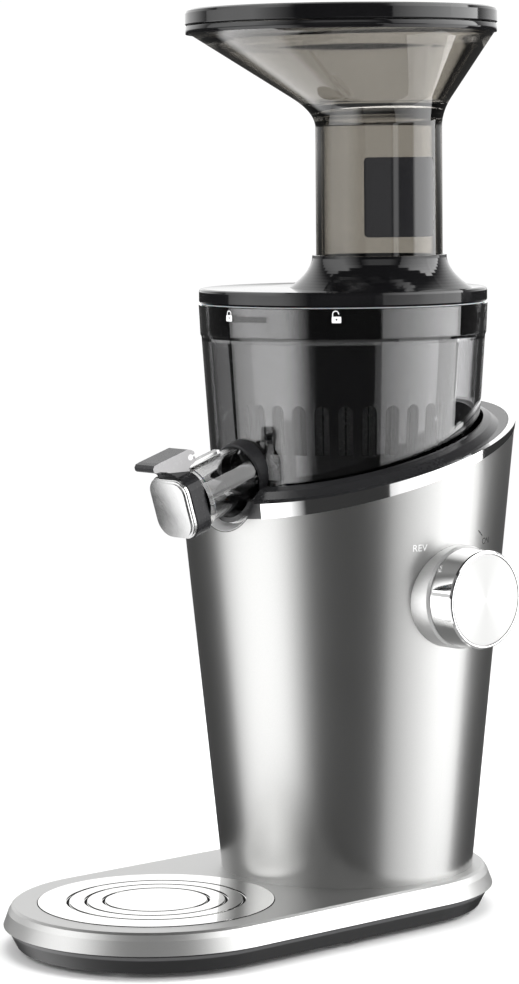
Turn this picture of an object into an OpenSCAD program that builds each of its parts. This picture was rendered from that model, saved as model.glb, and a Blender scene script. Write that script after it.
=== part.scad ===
// Vertical slow juicer. A pressing screw turns in a strainer drum inside a clear bowl.
// The bowl stands on a tapered motor body, on a long base plate that also carries the cup.
// Millimetres, +Z up. The origin is on the drive axis at the table.
// The juice spout points to the front, -Y. The knob is on +X.

/* [Base] */
// From the drive axis to the middle of the cup rest
cup_reach = 130; // [120:1:150]
// How far the base plate reaches past the body's foot
base_lip = 5.5; // [5:0.1:9]
// How far the base plate's skirt flares out
skirt_flare = 5; // [3:0.5:8]
// Height of the base plate with its skirt
plate_h = 10.4; // [9:0.1:14]
// Wall of the base plate
plate_wall = 3; // [2:0.1:3.5]
// Height of the tray under the base plate
tray_h = 9.8; // [8:0.1:13]
// Wall of the tray
tray_wall = 2.4; // [2:0.1:3]
// How far the feet hold the tray off the table
foot_lift = 2.5; // [2:0.1:2.7]
// Radius of a foot
foot_r = 5.5; // [4.5:0.1:6]
// Gap between the body's foot and the cup rest
rest_gap = 5.3; // [4:0.1:8]
// Thickness of the cup rest
rest_t = 1.6; // [1.2:0.1:2.2]
// From the cup rest's edge to its outermost groove
ring_in = 15.2; // [10:0.1:20]
// Step between the grooves
ring_step = 8.9; // [6:0.1:10]

/* [Body] */
// Radius of the body where it stands on the base plate
body_r0 = 65.5; // [62:0.5:68]
// Slope of the body's side, in degrees
body_taper = 5.6; // [5:0.1:6.5]
// Wall of the body
body_wall = 3; // [2:0.1:3.5]
// Height of the rim above the base plate, on the drive axis
body_h = 216.8; // [212:0.1:222]
// Slope of the rim from front to back, in degrees
rim_slope = 14.25; // [12:0.25:16]
// Height of the chrome trim on the drive axis
trim_h = 5.3; // [4:0.1:8]
// Width of the chrome trim's top
trim_w = 3.4; // [2.5:0.1:4.5]
// How far the deck rises from the trim to the bowl
deck_rise = 4.3; // [3:0.1:6]
// Width of the deck round the bowl
deck_w = 14.76; // [14:0.02:18]
// Thickness of the deck's walls
deck_wall = 2.5; // [2:0.1:3]

/* [Knob] */
// Height of the knob above the base plate
knob_up = 147.7; // [130:0.1:160]
// Radius of the knob
knob_r = 25; // [20:0.5:28]
// Depth of the knob
knob_depth = 14.2; // [10:0.1:18]
// Radius of the knob's face plate
knob_face_r = 23.1; // [18:0.1:24]
// Radius of the boss behind the knob
boss_r = 26; // [24:0.5:29]
// How far the boss stands out of the body
boss_out = 8; // [6:0.1:12]
// Radius of the knob's shaft
knob_shaft_r = 3; // [2.5:0.1:4]

/* [Bowl] */
// Height of the bowl
bowl_h = 103; // [101:0.5:106]
// How much wider the bowl is at its rim than where it enters the body
bowl_flare = 3.8; // [3.5:0.1:5]
// Wall of the bowl
bowl_wall = 3; // [2.5:0.1:3.2]
// Outer radius of the tube round the drive shaft
hub_r = 13; // [12.5:0.1:14]
// Bore of that tube
hub_bore_r = 9.5; // [9:0.1:10]
// Gap between the bowl and the well in the deck
bowl_gap = 1.5; // [1:0.1:2]
// Height of the drum's seat above the bowl's foot
seat_up = 16; // [16:0.5:17]

/* [Spout] */
// Slope of the spout, in degrees
spout_tilt = 17; // [12:0.5:22]
// Outer radius of the spout
spout_r = 14.8; // [13.5:0.1:15.2]
// Wall of the spout
spout_wall = 2.4; // [2:0.1:3]
// Length of the spout from its root
spout_len = 48; // [44:0.5:54]
// Height of the spout's root above the bowl's foot
spout_up = 23.1; // [22:0.1:25]
// Radius of the scoop that the body leaves round the spout
scoop_r = 24.5; // [24:0.5:26]
// Half the width of the gap in the chrome trim over the spout
trim_gap = 25.7; // [25:0.1:28]
// Width of the cap
cap_w = 29; // [27:0.5:30]
// Thickness of the chrome cap plate
cap_plate_t = 3.3; // [2.6:0.1:5]
// Thickness of the cap's body
cap_body_t = 8.6; // [7:0.1:9]
// How far the thumb lever reaches forward from the hinge
lever_len = 23.8; // [20:0.1:26]
// Width of the thumb lever and its clip
lever_w = 14.6; // [13:0.1:18]
// Radius of the cap's hinge pin
cap_pin_r = 1.5; // [1.2:0.1:1.8]

/* [Pulp duct] */
// How far the pulp duct reaches past the body's rim
pulp_out = 21.2; // [16:0.1:26]
// Inner width of the pulp duct
pulp_w = 22; // [18:0.5:26]
// Inner height of the pulp duct
pulp_h = 10; // [8:0.5:10]
// Wall of the pulp duct
pulp_wall = 2.5; // [2:0.1:2.5]

/* [Pressing set] */
// Room between the strainer drum's top and the bowl's rim
drum_room = 13; // [12:0.5:15]
// How far the drum's foot stands inside the bowl
drum_in = 15.5; // [15:0.1:17]
// How much wider the drum is at its top
drum_flare = 5; // [4:0.1:6]
// Wall of the drum
drum_wall = 2; // [1.6:0.1:2.4]
// Number of windows round the drum
window_n = 30; // [20:1:34]
// Width of a window
window_w = 7.4; // [5:0.1:8]
// Height of a window's foot above the drum's foot
window_up = 13; // [10:0.5:16]
// Height of a window with its round top
window_h = 25; // [16:0.5:30]
// Number of slits in the screen
slit_n = 60; // [40:1:72]
// Room between the pressing screw's last flight and the bowl's rim
auger_room = 5; // [4:0.1:6.5]
// Gap between the screw's flights and the screen
auger_gap = 2.15; // [1.5:0.05:4]
// Number of flights
auger_starts = 2; // [2:1:3]
// Turns of a flight from foot to tip
auger_turns = 1.4; // [1:0.1:1.8]
// Corner radius of the drive shaft's hexagon
hex_r = 8; // [7:0.1:8.5]

/* [Lid and hopper] */
// Height of the bowl lid's edge
lid_h = 7.5; // [6:0.1:10]
// How far the feed tube stands off the drive axis
feed_offset = 27.4; // [24:0.1:28]
// Outer radius of the feed tube
feed_r = 32.1; // [30:0.1:33]
// Wall of the hopper
hopper_wall = 2.6; // [2:0.1:3]
// Height of the collar above the lid
collar_h = 17; // [14:0.5:22]
// Height of the feed tube from the lid to the funnel's edge
feed_h = 89; // [75:0.5:100]
// Height of the funnel
funnel_h = 40.3; // [34:0.1:46]
// Growth of the funnel's radius for each millimetre of height
funnel_slope = 1.13; // [1.05:0.01:1.16]
// Radius of the hopper's rim
rim_r = 79.2; // [78.5:0.1:82]
// Height of the hopper's rim
rim_h = 4; // [3:0.1:6]
// How far the top cover stands out past the hopper's rim
cover_out = 0.5; // [0:0.1:2]
// Thickness of the top cover
cover_h = 8.1; // [6:0.1:10]

/* [Drive] */
// Teeth of each pinion
pinion_teeth = 12; // [12:2:12]
// Teeth of each large gear
gear_teeth = 48; // [40:4:48]
// Thickness of the large gears
gear_t = 9; // [7:0.5:10]
// Width of the motor's iron ring
iron_w = 19; // [17:0.5:22]
// Radius of the motor shaft and of the gear axle
shaft_r = 4; // [3.5:0.1:4.5]
// Radius of a frame post
post_r = 4; // [3:0.1:4.5]
// Radius of the cord's hole
cord_r = 3.6; // [3:0.1:4.2]

/* [Hidden] */
$fn = 96;
// Overshoot of a cut past the face that it opens
cut = 1;
// Clearance where a piece is seated in another of the same body
seat = 0.1;
// Clearance between pieces that move past each other
gap = 0.3;
// Radial clearance of a running fit
run = 0.06;
// A length past every part of the juicer
far = 400;

// Heights and outlines of the base
tray_z = foot_lift;
plate_z = tray_z + tray_h;
base_z = plate_z + plate_h;
base_r = body_r0 + base_lip;
rest_r = cup_reach - body_r0 - rest_gap;
ring_r = rest_r - ring_in;

// Heights and radii of the body
rim_z = base_z + body_h;
trim_slope = rim_slope + 1.6;
trim_z = rim_z - trim_h;
function body_at(z) = body_r0 + (z - base_z) * tan(body_taper);
gland_z = base_z + 20;
gland_y = body_at(gland_z + cord_r + 7) + seat;
knob_z = base_z + knob_up;
boss_x = body_at(knob_z) + boss_out;
knob_x = boss_x + 0.5;
sleeve_x = body_at(knob_z) - 12;
// Length, width and height of the switch behind the knob, and the length of its terminals
switch_size = [18, 26, 24];
terminal = 8;

// Radii of the bowl and of what stands in it
well_r = body_at(rim_z) - deck_w;
bowl_waist_r = well_r - bowl_gap;
bowl_foot_r = bowl_waist_r - 6.5;
bowl_r = bowl_waist_r + bowl_flare;
drum_foot_r = bowl_waist_r - drum_in;
drum_top_r = drum_foot_r + drum_flare;
seat_r = drum_foot_r - 3;
screen_gap = 0.35;
screen_t = 1;
auger_r = drum_foot_r - drum_wall - screen_gap - screen_t - auger_gap;

// Heights of the bowl and of what stands in it
well_z = rim_z - 28;
bowl_z = well_z + 0.5;
bowl_top_z = bowl_z + bowl_h;
seat_z = bowl_z + seat_up;
drum_h = bowl_h - seat_up - drum_room;
drum_top_z = seat_z + drum_h;
drum_floor = 3;
auger_z = seat_z + drum_floor + 0.4;
auger_top_z = bowl_top_z - auger_room;
auger_h = auger_top_z - auger_z;
tip_r = 3;
tip_z = auger_top_z + 5.5;
hub_up = 24;
hub_top_z = bowl_z + hub_up;
hex_top_z = hub_top_z + 22;
// Places of the bayonet's hooks
lug_z = bowl_top_z - 7;
lug_turn = 15;

// The spout's own axes: X across, Y up from the spout, Z outwards along it
spout_root = [0, 10.5 - bowl_waist_r, bowl_z + spout_up];
cap_z = spout_len + gap;
hinge_y = spout_r + 7.5;
hinge_z = spout_len - 2.2;
lever_y = hinge_y + 4.3;
rib_w = 4;
flange_r = spout_r + 1.8;
// The scoop narrows inwards to the trough's radius
dish_depth = 7;
dish_r = scoop_r - 4;
dish_front_z = rim_z - 25;
trough_r = dish_r - 2 * seat;
scoop_z = spout_root[2] - (body_at(dish_front_z) + spout_root[1]) * tan(spout_tilt);

// The pulp duct's direction and place
pulp_angle = 160;
pulp_reach = body_at(rim_z) + pulp_out;
pulp_z = bowl_z + 2.5;

// Heights and radii of the lid, the hopper and the cover
lid_r = bowl_r - 0.2;
lid_z = bowl_top_z + 0.8;
lid_top_z = lid_z + lid_h;
feed_z = lid_top_z + 4;
collar_z = lid_top_z + collar_h;
funnel_z = lid_top_z + feed_h;
funnel_top_z = funnel_z + funnel_h;
rim_top_z = funnel_top_z + rim_h;
cover_z = rim_top_z + gap;
cover_r = rim_r + cover_out;
// Half the length of the bend between the feed tube and the funnel
bend = 7.5;

// The gear train hangs from the well, and the motor fills the room below it
bracket_t = 3;
bearing_r = 11;
bearing_h = 7;
tower_h = 20;
tower_r = 15;
drive_r = 6;
case_wall = 3;
case_top_z = well_z - deck_wall - 5 - tower_h;
second_z = case_top_z - 3 - gear_t;
mesh_z = second_z - 5 - gear_t;
case_z = mesh_z - 6;
gear_plate_z = case_z - bracket_t;
upper_z = gear_plate_z - 15;
fan_z = base_z + 25.3;
fan_h = 10;
lower_z = fan_z + 13;
coil_h = 6;
iron_z = lower_z + 5 + coil_h;
iron_h = upper_z - 2 - coil_h - iron_z;

// Radii of the motor and of its frame
post_ring_r = body_r0 - 13.5;
stator_r = post_ring_r - post_r - 2;
rotor_r = stator_r - iron_w;

// The largest gear teeth, in steps of 0.05, with which the case still clears the body's wall
case_gap = 2;
case_reach = body_at(case_z) - body_wall - case_wall - case_gap - 1;
gear_module = floor(20 * case_reach / (pinion_teeth / 2 + gear_teeth + 1)) / 20;
pinion_r = gear_module * pinion_teeth / 2;
gear_r = gear_module * gear_teeth / 2;
gear_centres = pinion_r + gear_r;
case_in_r = gear_r + gear_module + case_gap;
pressure = 20;
backlash = 0.16;

// Places that repeat
foot_places = [for (side = [-1, 1]) each [
    [side * 0.72 * base_r, 0.48 * base_r],
    [side * 0.83 * base_r, -0.45 * cup_reach],
    [side * 0.65 * base_r, -cup_reach - 0.31 * base_r]
]];
screw_places = [for (side = [-1, 1]) each [
    [side * 0.79 * base_r, -0.11 * base_r],
    [side * 0.85 * base_r, -0.62 * cup_reach],
    [side * 0.5 * base_r, -cup_reach - 0.75 * base_r]
]];
post_angles = [45, 135, 225, 315];

// --- Shapes that several pieces use ---

// A plate with two round ends whose outline runs from radius r0 at z0 to r1 at z1
module stadium(r0, z0, r1, z1) {
    for (end = [0, -cup_reach]) {
        translate([0, end, z0]) cylinder(r1 = r0, r2 = r1, h = z1 - z0);
    }
    rotate([90, 0, 0]) linear_extrude(cup_reach) polygon([[-r0, z0], [r0, z0], [r1, z1], [-r1, z1]]);
}

// The body's tapered form, grown outwards by grow, from z0 to z1
module body_cone(grow, z0, z1) {
    translate([0, 0, z0]) cylinder(r1 = body_at(z0) + grow, r2 = body_at(z1) + grow, h = z1 - z0);
}

// All space above a plane that rises to the back
module above_slant(z, slope) {
    translate([0, 0, z]) rotate([slope, 0, 0]) translate([-far / 2, -far / 2, 0]) cube([far, far, far]);
}

// All space below such a plane
module below_slant(z, slope) {
    translate([0, 0, z]) rotate([slope, 0, 0]) translate([-far / 2, -far / 2, -far]) cube([far, far, far]);
}

// Puts its children on the spout's own axes
module on_spout() {
    translate(spout_root) rotate([90 + spout_tilt, 0, 0]) children();
}

// The open-topped way that the spout needs through rim and deck
module spout_way(r) {
    on_spout() translate([0, 0, -6]) cylinder(r = r, h = spout_len + 20);
    on_spout() translate([-r, 0, -6]) cube([2 * r, 90, spout_len + 20]);
}

// The scoop in the body's wall under the spout. It narrows inwards and is open at its top.
module scoop() {
    slope = (scoop_r - dish_r) / dish_depth;
    length = 20;
    spout_way(dish_r);
    translate([0, dish_depth - body_at(dish_front_z), scoop_z]) rotate([90, 0, 0]) {
        cylinder(r1 = dish_r, r2 = dish_r + slope * length, h = length);
    }
    translate([-scoop_r, -far / 2, scoop_z]) cube([2 * scoop_r, far / 2 - well_r, far / 4]);
}

// The gap over the spout, where the deck takes the place of the chrome trim
module trim_gap_box(half) {
    translate([-half, -far / 2, base_z]) cube([2 * half, far / 2 - well_r / 2, far]);
}

// Puts its children on the pulp duct's axis, outwards along X
module on_pulp() {
    rotate([0, 0, pulp_angle]) children();
}

// The open-topped way that the pulp duct needs through rim and deck
module pulp_way(side, z) {
    on_pulp() translate([well_r - 8, -pulp_w / 2 - side, z]) cube([far / 8, pulp_w + 2 * side, far / 4]);
}

// A ring between two radii
module ring(r_out, r_in, z, h) {
    translate([0, 0, z]) difference() {
        cylinder(r = r_out, h = h);
        translate([0, 0, -cut]) cylinder(r = r_in, h = h + 2 * cut);
    }
}

// --- Base ---

// Puts its children at each place of a list
module at_each(places) {
    for (p = places) translate([p[0], p[1], 0]) children();
}

module base_tray() {
    top_r = base_r + skirt_flare - 1.5;
    foot_out_r = top_r - 5;
    pocket = 0.9;
    color("#1b1c1e") difference() {
        union() {
            difference() {
                stadium(foot_out_r, tray_z, top_r, plate_z);
                stadium(foot_out_r - tray_wall, tray_z + tray_wall, top_r - tray_wall, plate_z + cut);
            }
            at_each(screw_places) translate([0, 0, tray_z + 1]) {
                cylinder(r = 5, h = base_z - plate_wall - tray_z - 1 - seat);
            }
        }
        at_each(foot_places) translate([0, 0, tray_z - cut]) cylinder(r = foot_r + seat, h = pocket + cut);
        at_each(screw_places) translate([0, 0, tray_z - cut]) cylinder(r = 3.5, h = 3 + cut);
        at_each(screw_places) translate([0, 0, tray_z]) cylinder(r = 1.6, h = far / 4);
    }
}

module base_feet() {
    color("#26272a") at_each(foot_places) {
        cylinder(r1 = foot_r - 0.8, r2 = foot_r, h = 0.8);
        translate([0, 0, 0.8]) cylinder(r = foot_r, h = foot_lift + 0.9 - 0.8);
    }
}

module base_screws() {
    head_z = tray_z + 0.8;
    head_h = 2.2;
    shank_top = base_z - plate_wall / 2 - 0.2;
    color("silver") at_each(screw_places) {
        translate([0, 0, head_z]) difference() {
            cylinder(r = 3, h = head_h);
            translate([0, 0, -cut]) cylinder(r = 1.5, h = 1 + cut, $fn = 6);
        }
        translate([0, 0, head_z + head_h]) cylinder(r = 1.5, h = shank_top - head_z - head_h);
    }
}

module base_plate() {
    skirt_r = base_r + skirt_flare;
    color("#c9cacb") difference() {
        union() {
            stadium(skirt_r, plate_z, skirt_r - 2.4, plate_z + plate_h * 0.65);
            stadium(skirt_r - 2.4, plate_z + plate_h * 0.65, skirt_r - 4, base_z - 1);
            stadium(skirt_r - 4, base_z - 1, skirt_r - 5.4, base_z);
        }
        stadium(skirt_r - plate_wall, plate_z - cut, skirt_r - plate_wall - 2.5, base_z - plate_wall);
        cylinder(r = 20, h = far / 4);
        translate([0, -cup_reach, base_z - rest_t + gap]) cylinder(r = rest_r + seat, h = rest_t + cut);
        at_each(screw_places) cylinder(r = 1.6, h = base_z - plate_wall / 2);
    }
}

module cup_rest() {
    groove_w = 1.8;
    groove_depth = 0.9;
    color("#d4d5d6") translate([0, -cup_reach, base_z - rest_t + gap]) difference() {
        union() {
            cylinder(r = rest_r, h = rest_t - 0.4);
            translate([0, 0, rest_t - 0.4]) cylinder(r1 = rest_r, r2 = rest_r - 0.4, h = 0.4);
        }
        for (i = [0 : 2]) {
            groove_r = ring_r - i * ring_step;
            ring(groove_r + groove_w / 2, groove_r - groove_w / 2, rest_t - groove_depth, groove_depth + cut);
        }
    }
}

// --- Body ---

module body_shell() {
    pad = 9;
    color("#b9babc") difference() {
        union() {
            difference() {
                union() {
                    body_cone(0, base_z, rim_z + 40);
                    translate([0, 0, gland_z]) rotate([-90, 0, 0]) cylinder(r = cord_r + 7, h = gland_y);
                }
                body_cone(-body_wall, base_z + body_wall, rim_z + 41);
                cylinder(r = body_r0 - 8, h = far / 4);
            }
            difference() {
                intersection() {
                    translate([0, 0, scoop_z]) rotate([90, 0, 0]) cylinder(r = scoop_r + 2, h = far / 2);
                    body_cone(-body_wall / 2, base_z, rim_z + 40);
                }
                body_cone(-pad, base_z, rim_z + 41);
            }
        }
        above_slant(trim_z, trim_slope);
        on_knob() cylinder(r = 12, h = far / 2);
        translate([0, 0, gland_z]) rotate([-90, 0, 0]) cylinder(r = cord_r + 3.5, h = far / 2);
        scoop();
        pulp_way(pulp_wall + 1.5, pulp_z - pulp_wall - 2.5);
    }
}

module rim_trim() {
    proud = 0.3;
    color("#e6e7e8") difference() {
        body_cone(proud, trim_z - 40, rim_z + 40);
        body_cone(-trim_w, trim_z - 41, rim_z + 41);
        above_slant(rim_z, rim_slope);
        below_slant(trim_z, trim_slope);
        trim_gap_box(trim_gap);
        pulp_way(pulp_wall + 1.5, pulp_z - pulp_wall - 2.5);
    }
}

// The deck with its well. Troughs line the ways of the spout and of the pulp duct.
module deck() {
    edge_grow = -trim_w - 2 * seat;
    crown_r = well_r + 9;
    side = pulp_wall + 0.5;
    floor_z = pulp_z - pulp_wall - 1.5;
    color("#17181a") difference() {
        union() {
            difference() {
                body_cone(edge_grow, well_z - 30, rim_z + 40);
                above_slant(rim_z, rim_slope);
            }
            difference() {
                intersection() {
                    body_cone(-seat, well_z - 30, rim_z + 40);
                    trim_gap_box(trim_gap - seat);
                }
                above_slant(rim_z, rim_slope);
                below_slant(trim_z + seat, trim_slope);
            }
            translate([0, 0, rim_z]) rotate([rim_slope, 0, 0]) {
                cylinder(r1 = crown_r, r2 = crown_r - 3.4, h = deck_rise * 0.7);
                translate([0, 0, deck_rise * 0.7]) {
                    cylinder(r1 = crown_r - 3.4, r2 = crown_r - 7, h = deck_rise * 0.3);
                }
            }
        }
        difference() {
            below_slant(rim_z - deck_wall, rim_slope);
            difference() {
                trim_gap_box(trim_gap - seat);
                below_slant(trim_z + seat, trim_slope);
                body_cone(edge_grow - deck_wall, well_z - 40, rim_z + 41);
            }
            translate([0, 0, well_z - deck_wall]) cylinder(r = well_r + deck_wall, h = far);
            spout_way(trough_r);
            pulp_way(side + deck_wall, floor_z - deck_wall);
        }
        translate([0, 0, well_z]) cylinder(r = well_r, h = far / 2);
        cylinder(r = hex_r + 3, h = far);
        spout_way(trough_r - deck_wall);
        intersection() {
            scoop();
            difference() {
                translate([-far / 2, -far / 2, 0]) cube([far, far / 2, far]);
                body_cone(edge_grow, well_z - 40, rim_z + 41);
            }
        }
        pulp_way(side, floor_z);
    }
}

module cord_gland() {
    nut_y = body_at(gland_z) - body_wall - 1.2;
    color("#202124") translate([0, 0, gland_z]) rotate([-90, 0, 0]) difference() {
        union() {
            translate([0, 0, nut_y - 6]) cylinder(r = cord_r + 3.3, h = gland_y - nut_y + 7);
            translate([0, 0, gland_y]) cylinder(r = cord_r + 6, h = 2.4);
            translate([0, 0, gland_y + 2.4]) cylinder(r1 = cord_r + 4, r2 = cord_r + 2.4, h = 7);
            translate([0, 0, nut_y - 6]) cylinder(r = cord_r + 6, h = 6);
        }
        cylinder(r = cord_r, h = far / 2);
    }
}

// --- Knob ---

module on_knob() {
    translate([0, 0, knob_z]) rotate([0, 90, 0]) children();
}

module knob_boss() {
    color("#b9babc") difference() {
        union() {
            difference() {
                on_knob() union() {
                    translate([0, 0, boss_x - 24]) cylinder(r = boss_r, h = 22.6);
                    translate([0, 0, boss_x - 1.4]) cylinder(r1 = boss_r, r2 = boss_r - 1, h = 1.4);
                }
                body_cone(seat / 2, base_z, rim_z);
            }
            on_knob() translate([0, 0, sleeve_x]) cylinder(r = 11.8, h = 18);
        }
        on_knob() cylinder(r = knob_shaft_r + run, h = far / 2);
    }
}

// The switch's box, with a margin at its four sides and a room behind it, towards the drive axis
module switch_box(margin, behind) {
    size = [switch_size[0] + behind, switch_size[1] + 2 * margin, switch_size[2] + 2 * margin];
    translate([sleeve_x - size[0], -size[1] / 2, knob_z - size[2] / 2]) cube(size);
}

module rotary_switch() {
    color("#2b3a55") difference() {
        union() {
            switch_box(0, 0);
            for (y = [-8, 0, 8]) translate([sleeve_x - switch_size[0] - terminal, y - 0.4, knob_z - 3]) {
                cube([terminal + 1, 0.8, 6]);
            }
        }
        on_knob() translate([0, 0, sleeve_x - 12]) cylinder(r = knob_shaft_r + run, h = 12 + cut);
    }
}

module knob_shaft() {
    start = sleeve_x - 11;
    color("silver") on_knob() translate([0, 0, start]) {
        cylinder(r = knob_shaft_r, h = boss_x + knob_depth - 4 - start);
    }
}

module knob_ring() {
    color("#e2e3e4") on_knob() translate([0, 0, knob_x]) rotate_extrude() polygon([
        [knob_shaft_r + 0.02, 2], [7, 2], [7, knob_depth - 5], [knob_r - 2.4, knob_depth - 5],
        [knob_r - 2.4, 0], [knob_r, 0], [knob_r, 1], [knob_r - 0.3, knob_depth - 1.2],
        [knob_r - 0.7, knob_depth - 0.4], [knob_r - 1.3, knob_depth], [knob_face_r + 0.1, knob_depth],
        [knob_face_r + 0.1, knob_depth - 2], [knob_shaft_r + 0.02, knob_depth - 2]
    ]);
}

module knob_face() {
    color("#dfe0e1") on_knob() translate([0, 0, knob_x + knob_depth - 2]) {
        cylinder(r = knob_face_r, h = 1.5);
        translate([0, 0, 1.5]) cylinder(r1 = knob_face_r, r2 = knob_face_r - 0.5, h = 0.3);
    }
}

// --- Motor frame ---

// Puts its children on the axis of each frame post, +X pointing outwards
module at_posts() {
    for (a = post_angles) rotate([0, 0, a]) translate([post_ring_r, 0, 0]) children();
}

module frame_posts() {
    color("silver") at_posts() translate([0, 0, base_z]) cylinder(r = post_r, h = gear_plate_z - base_z);
}

// A bracket plate on the posts with a seat for a ball bearing
module bracket(z, hub_z) {
    difference() {
        union() {
            ring(post_ring_r + post_r + 2, post_ring_r - post_r - 2, z, bracket_t);
            at_posts() translate([-post_ring_r, -6, z]) cube([post_ring_r - 2, 12, bracket_t]);
            translate([0, 0, hub_z]) cylinder(r = bearing_r + 3, h = bearing_h + 1);
        }
        translate([0, 0, hub_z + 0.5]) cylinder(r = bearing_r + 0.02, h = bearing_h + cut);
        translate([0, 0, z - far / 4]) cylinder(r = bearing_r - 3, h = far / 2);
        at_posts() cylinder(r = post_r + 0.05, h = far);
        switch_box(2, terminal + 1);
    }
}

module lower_bracket() {
    color("#9fa2a6") bracket(lower_z, lower_z);
}

module upper_bracket() {
    color("#9fa2a6") bracket(upper_z, upper_z);
}

module gear_plate() {
    color("#9fa2a6") difference() {
        union() {
            translate([0, 0, gear_plate_z]) cylinder(r = post_ring_r + post_r + 2, h = bracket_t);
            two_axes(case_in_r + case_wall, gear_plate_z, bracket_t);
        }
        cylinder(r = shaft_r + 4, h = far);
        translate([0, gear_centres, 0]) cylinder(r = shaft_r + 0.02, h = far);
        switch_box(2, terminal + 1);
    }
}

// --- Motor ---

module stator() {
    slots = 12;
    bore_r = rotor_r + 0.6;
    color("#6d6f73") difference() {
        union() {
            translate([0, 0, iron_z]) cylinder(r = stator_r, h = iron_h);
            at_posts() translate([0, 0, iron_z + iron_h / 3]) cylinder(r = post_r + 3, h = iron_h / 3);
        }
        cylinder(r = bore_r, h = far);
        for (i = [0 : slots - 1]) rotate([0, 0, (i + 0.5) * 360 / slots]) {
            translate([bore_r + 2, -3, 0]) cube([9, 6, far]);
        }
        at_posts() cylinder(r = post_r + 0.05, h = far);
    }
}

module windings() {
    in_r = rotor_r + 3;
    out_r = stator_r - 4;
    color("#b5672e") for (z = [iron_z - coil_h, iron_z + iron_h]) translate([0, 0, z]) {
        rotate_extrude() polygon([
            [in_r, 0], [out_r - 1.5, 0], [out_r, 1.5], [out_r, coil_h - 1.5], [out_r - 1.5, coil_h],
            [in_r, coil_h]
        ]);
    }
}

module ball_bearing(in_r) {
    color("#c2c4c7") {
        ring(bearing_r, bearing_r - 2.2, 0, bearing_h);
        ring(in_r + 1.8, in_r, 0, bearing_h);
        ring(bearing_r - 2.2, in_r + 1.8, 1.5, bearing_h - 3);
    }
}

module motor_bearings() {
    for (z = [lower_z + 0.5, upper_z + 0.5]) translate([0, 0, z]) ball_bearing(shaft_r + 0.05);
}

module motor_shaft() {
    color("silver") translate([0, 0, fan_z - 2]) cylinder(r = shaft_r, h = second_z - 2 - fan_z + 2);
}

module rotor_core() {
    color("#7c7f84") ring(rotor_r, shaft_r, iron_z + 2, iron_h - 4);
    color("#c9cacb") ring(rotor_r - 3, shaft_r, iron_z - 1, 3);
    color("#c9cacb") ring(rotor_r - 3, shaft_r, iron_z + iron_h - 2, 3);
}

module cooling_fan() {
    blades = 9;
    fan_r = post_ring_r - post_r - 6;
    color("#3a3d42") union() {
        ring(12, shaft_r, fan_z, fan_h);
        ring(fan_r, fan_r - 2, fan_z, fan_h);
        for (i = [0 : blades - 1]) rotate([0, 0, i * 360 / blades]) {
            translate([10, 0, fan_z + fan_h / 2]) rotate([38, 0, 0]) {
                translate([0, -0.8, -fan_h / 2]) cube([fan_r - 11, 1.6, fan_h]);
            }
        }
    }
}

// --- Gear train ---

// The involute of an angle, in degrees
function involute(a) = tan(a) * 180 / PI - a;
// Half the angle that a tooth takes up at radius r
function half_tooth(n, r) = let (pitch_r = gear_module * n / 2, base = pitch_r * cos(pressure))
    90 / n - backlash / pitch_r * 90 / PI + involute(pressure) - involute(acos(min(1, base / max(r, base))));
function polar(r, a) = [r * cos(a), r * sin(a)];

// The outline of a spur gear with n stub teeth, one of them on the X axis
module gear_outline(n) {
    pitch_r = gear_module * n / 2;
    root = pitch_r - gear_module;
    tip = pitch_r + 0.75 * gear_module;
    steps = [root, max(root, pitch_r * cos(pressure)) + 0.05, pitch_r, tip];
    polygon([for (i = [0 : n - 1]) let (mid = i * 360 / n) each concat(
        [for (r = steps) polar(r, mid - half_tooth(n, r))],
        [for (k = [len(steps) - 1 : -1 : 0]) polar(steps[k], mid + half_tooth(n, steps[k]))]
    )]);
}

module gear(n, h, bore) {
    linear_extrude(h) difference() {
        gear_outline(n);
        circle(r = bore);
    }
}

// Puts its children on the intermediate axle, behind the drive axis
module on_idler(turn) {
    translate([0, gear_centres, 0]) rotate([0, 0, turn]) children();
}

module motor_pinion() {
    color("#b98b3e") rotate([0, 0, 90]) translate([0, 0, mesh_z - 1]) gear(pinion_teeth, gear_t + 2, shaft_r);
}

module idler_gear() {
    color("#d9d2bf") on_idler(90 + 180 / gear_teeth) translate([0, 0, mesh_z]) difference() {
        gear(gear_teeth, gear_t, shaft_r + run);
        for (i = [0 : 5]) rotate([0, 0, i * 60]) translate([gear_r * 0.62, 0, -cut]) {
            cylinder(r = gear_r * 0.14, h = gear_t + 2 * cut);
        }
    }
}

module idler_pinion() {
    color("#b98b3e") on_idler(90) translate([0, 0, mesh_z + gear_t]) {
        gear(pinion_teeth, gear_t + 6, shaft_r + run);
    }
}

module output_gear() {
    color("#d9d2bf") rotate([0, 0, 90 + 180 / gear_teeth]) translate([0, 0, second_z]) {
        gear(gear_teeth, gear_t, drive_r);
    }
}

module idler_axle() {
    color("silver") translate([0, gear_centres, gear_plate_z]) {
        cylinder(r = shaft_r, h = case_top_z + case_wall - gear_plate_z);
    }
}

// The outline round both gear axes
module two_axes(r, z, h) {
    for (y = [0, gear_centres]) translate([0, y, z]) cylinder(r = r, h = h);
    translate([-r, 0, z]) cube([2 * r, gear_centres, h]);
}

module gearbox_case() {
    color("#85888c") difference() {
        two_axes(case_in_r + case_wall, case_z, case_top_z - case_z);
        two_axes(case_in_r, case_z - cut, case_top_z - case_z + 2 * cut);
    }
}

module gearbox_lid() {
    color("#85888c") difference() {
        union() {
            two_axes(case_in_r + case_wall, case_top_z, case_wall);
            translate([0, 0, case_top_z]) cylinder(r = tower_r, h = tower_h);
        }
        translate([0, 0, case_top_z + 1]) cylinder(r = bearing_r + 0.02, h = tower_h);
        translate([0, 0, case_top_z - cut]) cylinder(r = bearing_r - 3, h = tower_h);
        translate([0, gear_centres, 0]) cylinder(r = shaft_r + 0.02, h = far);
    }
}

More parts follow.
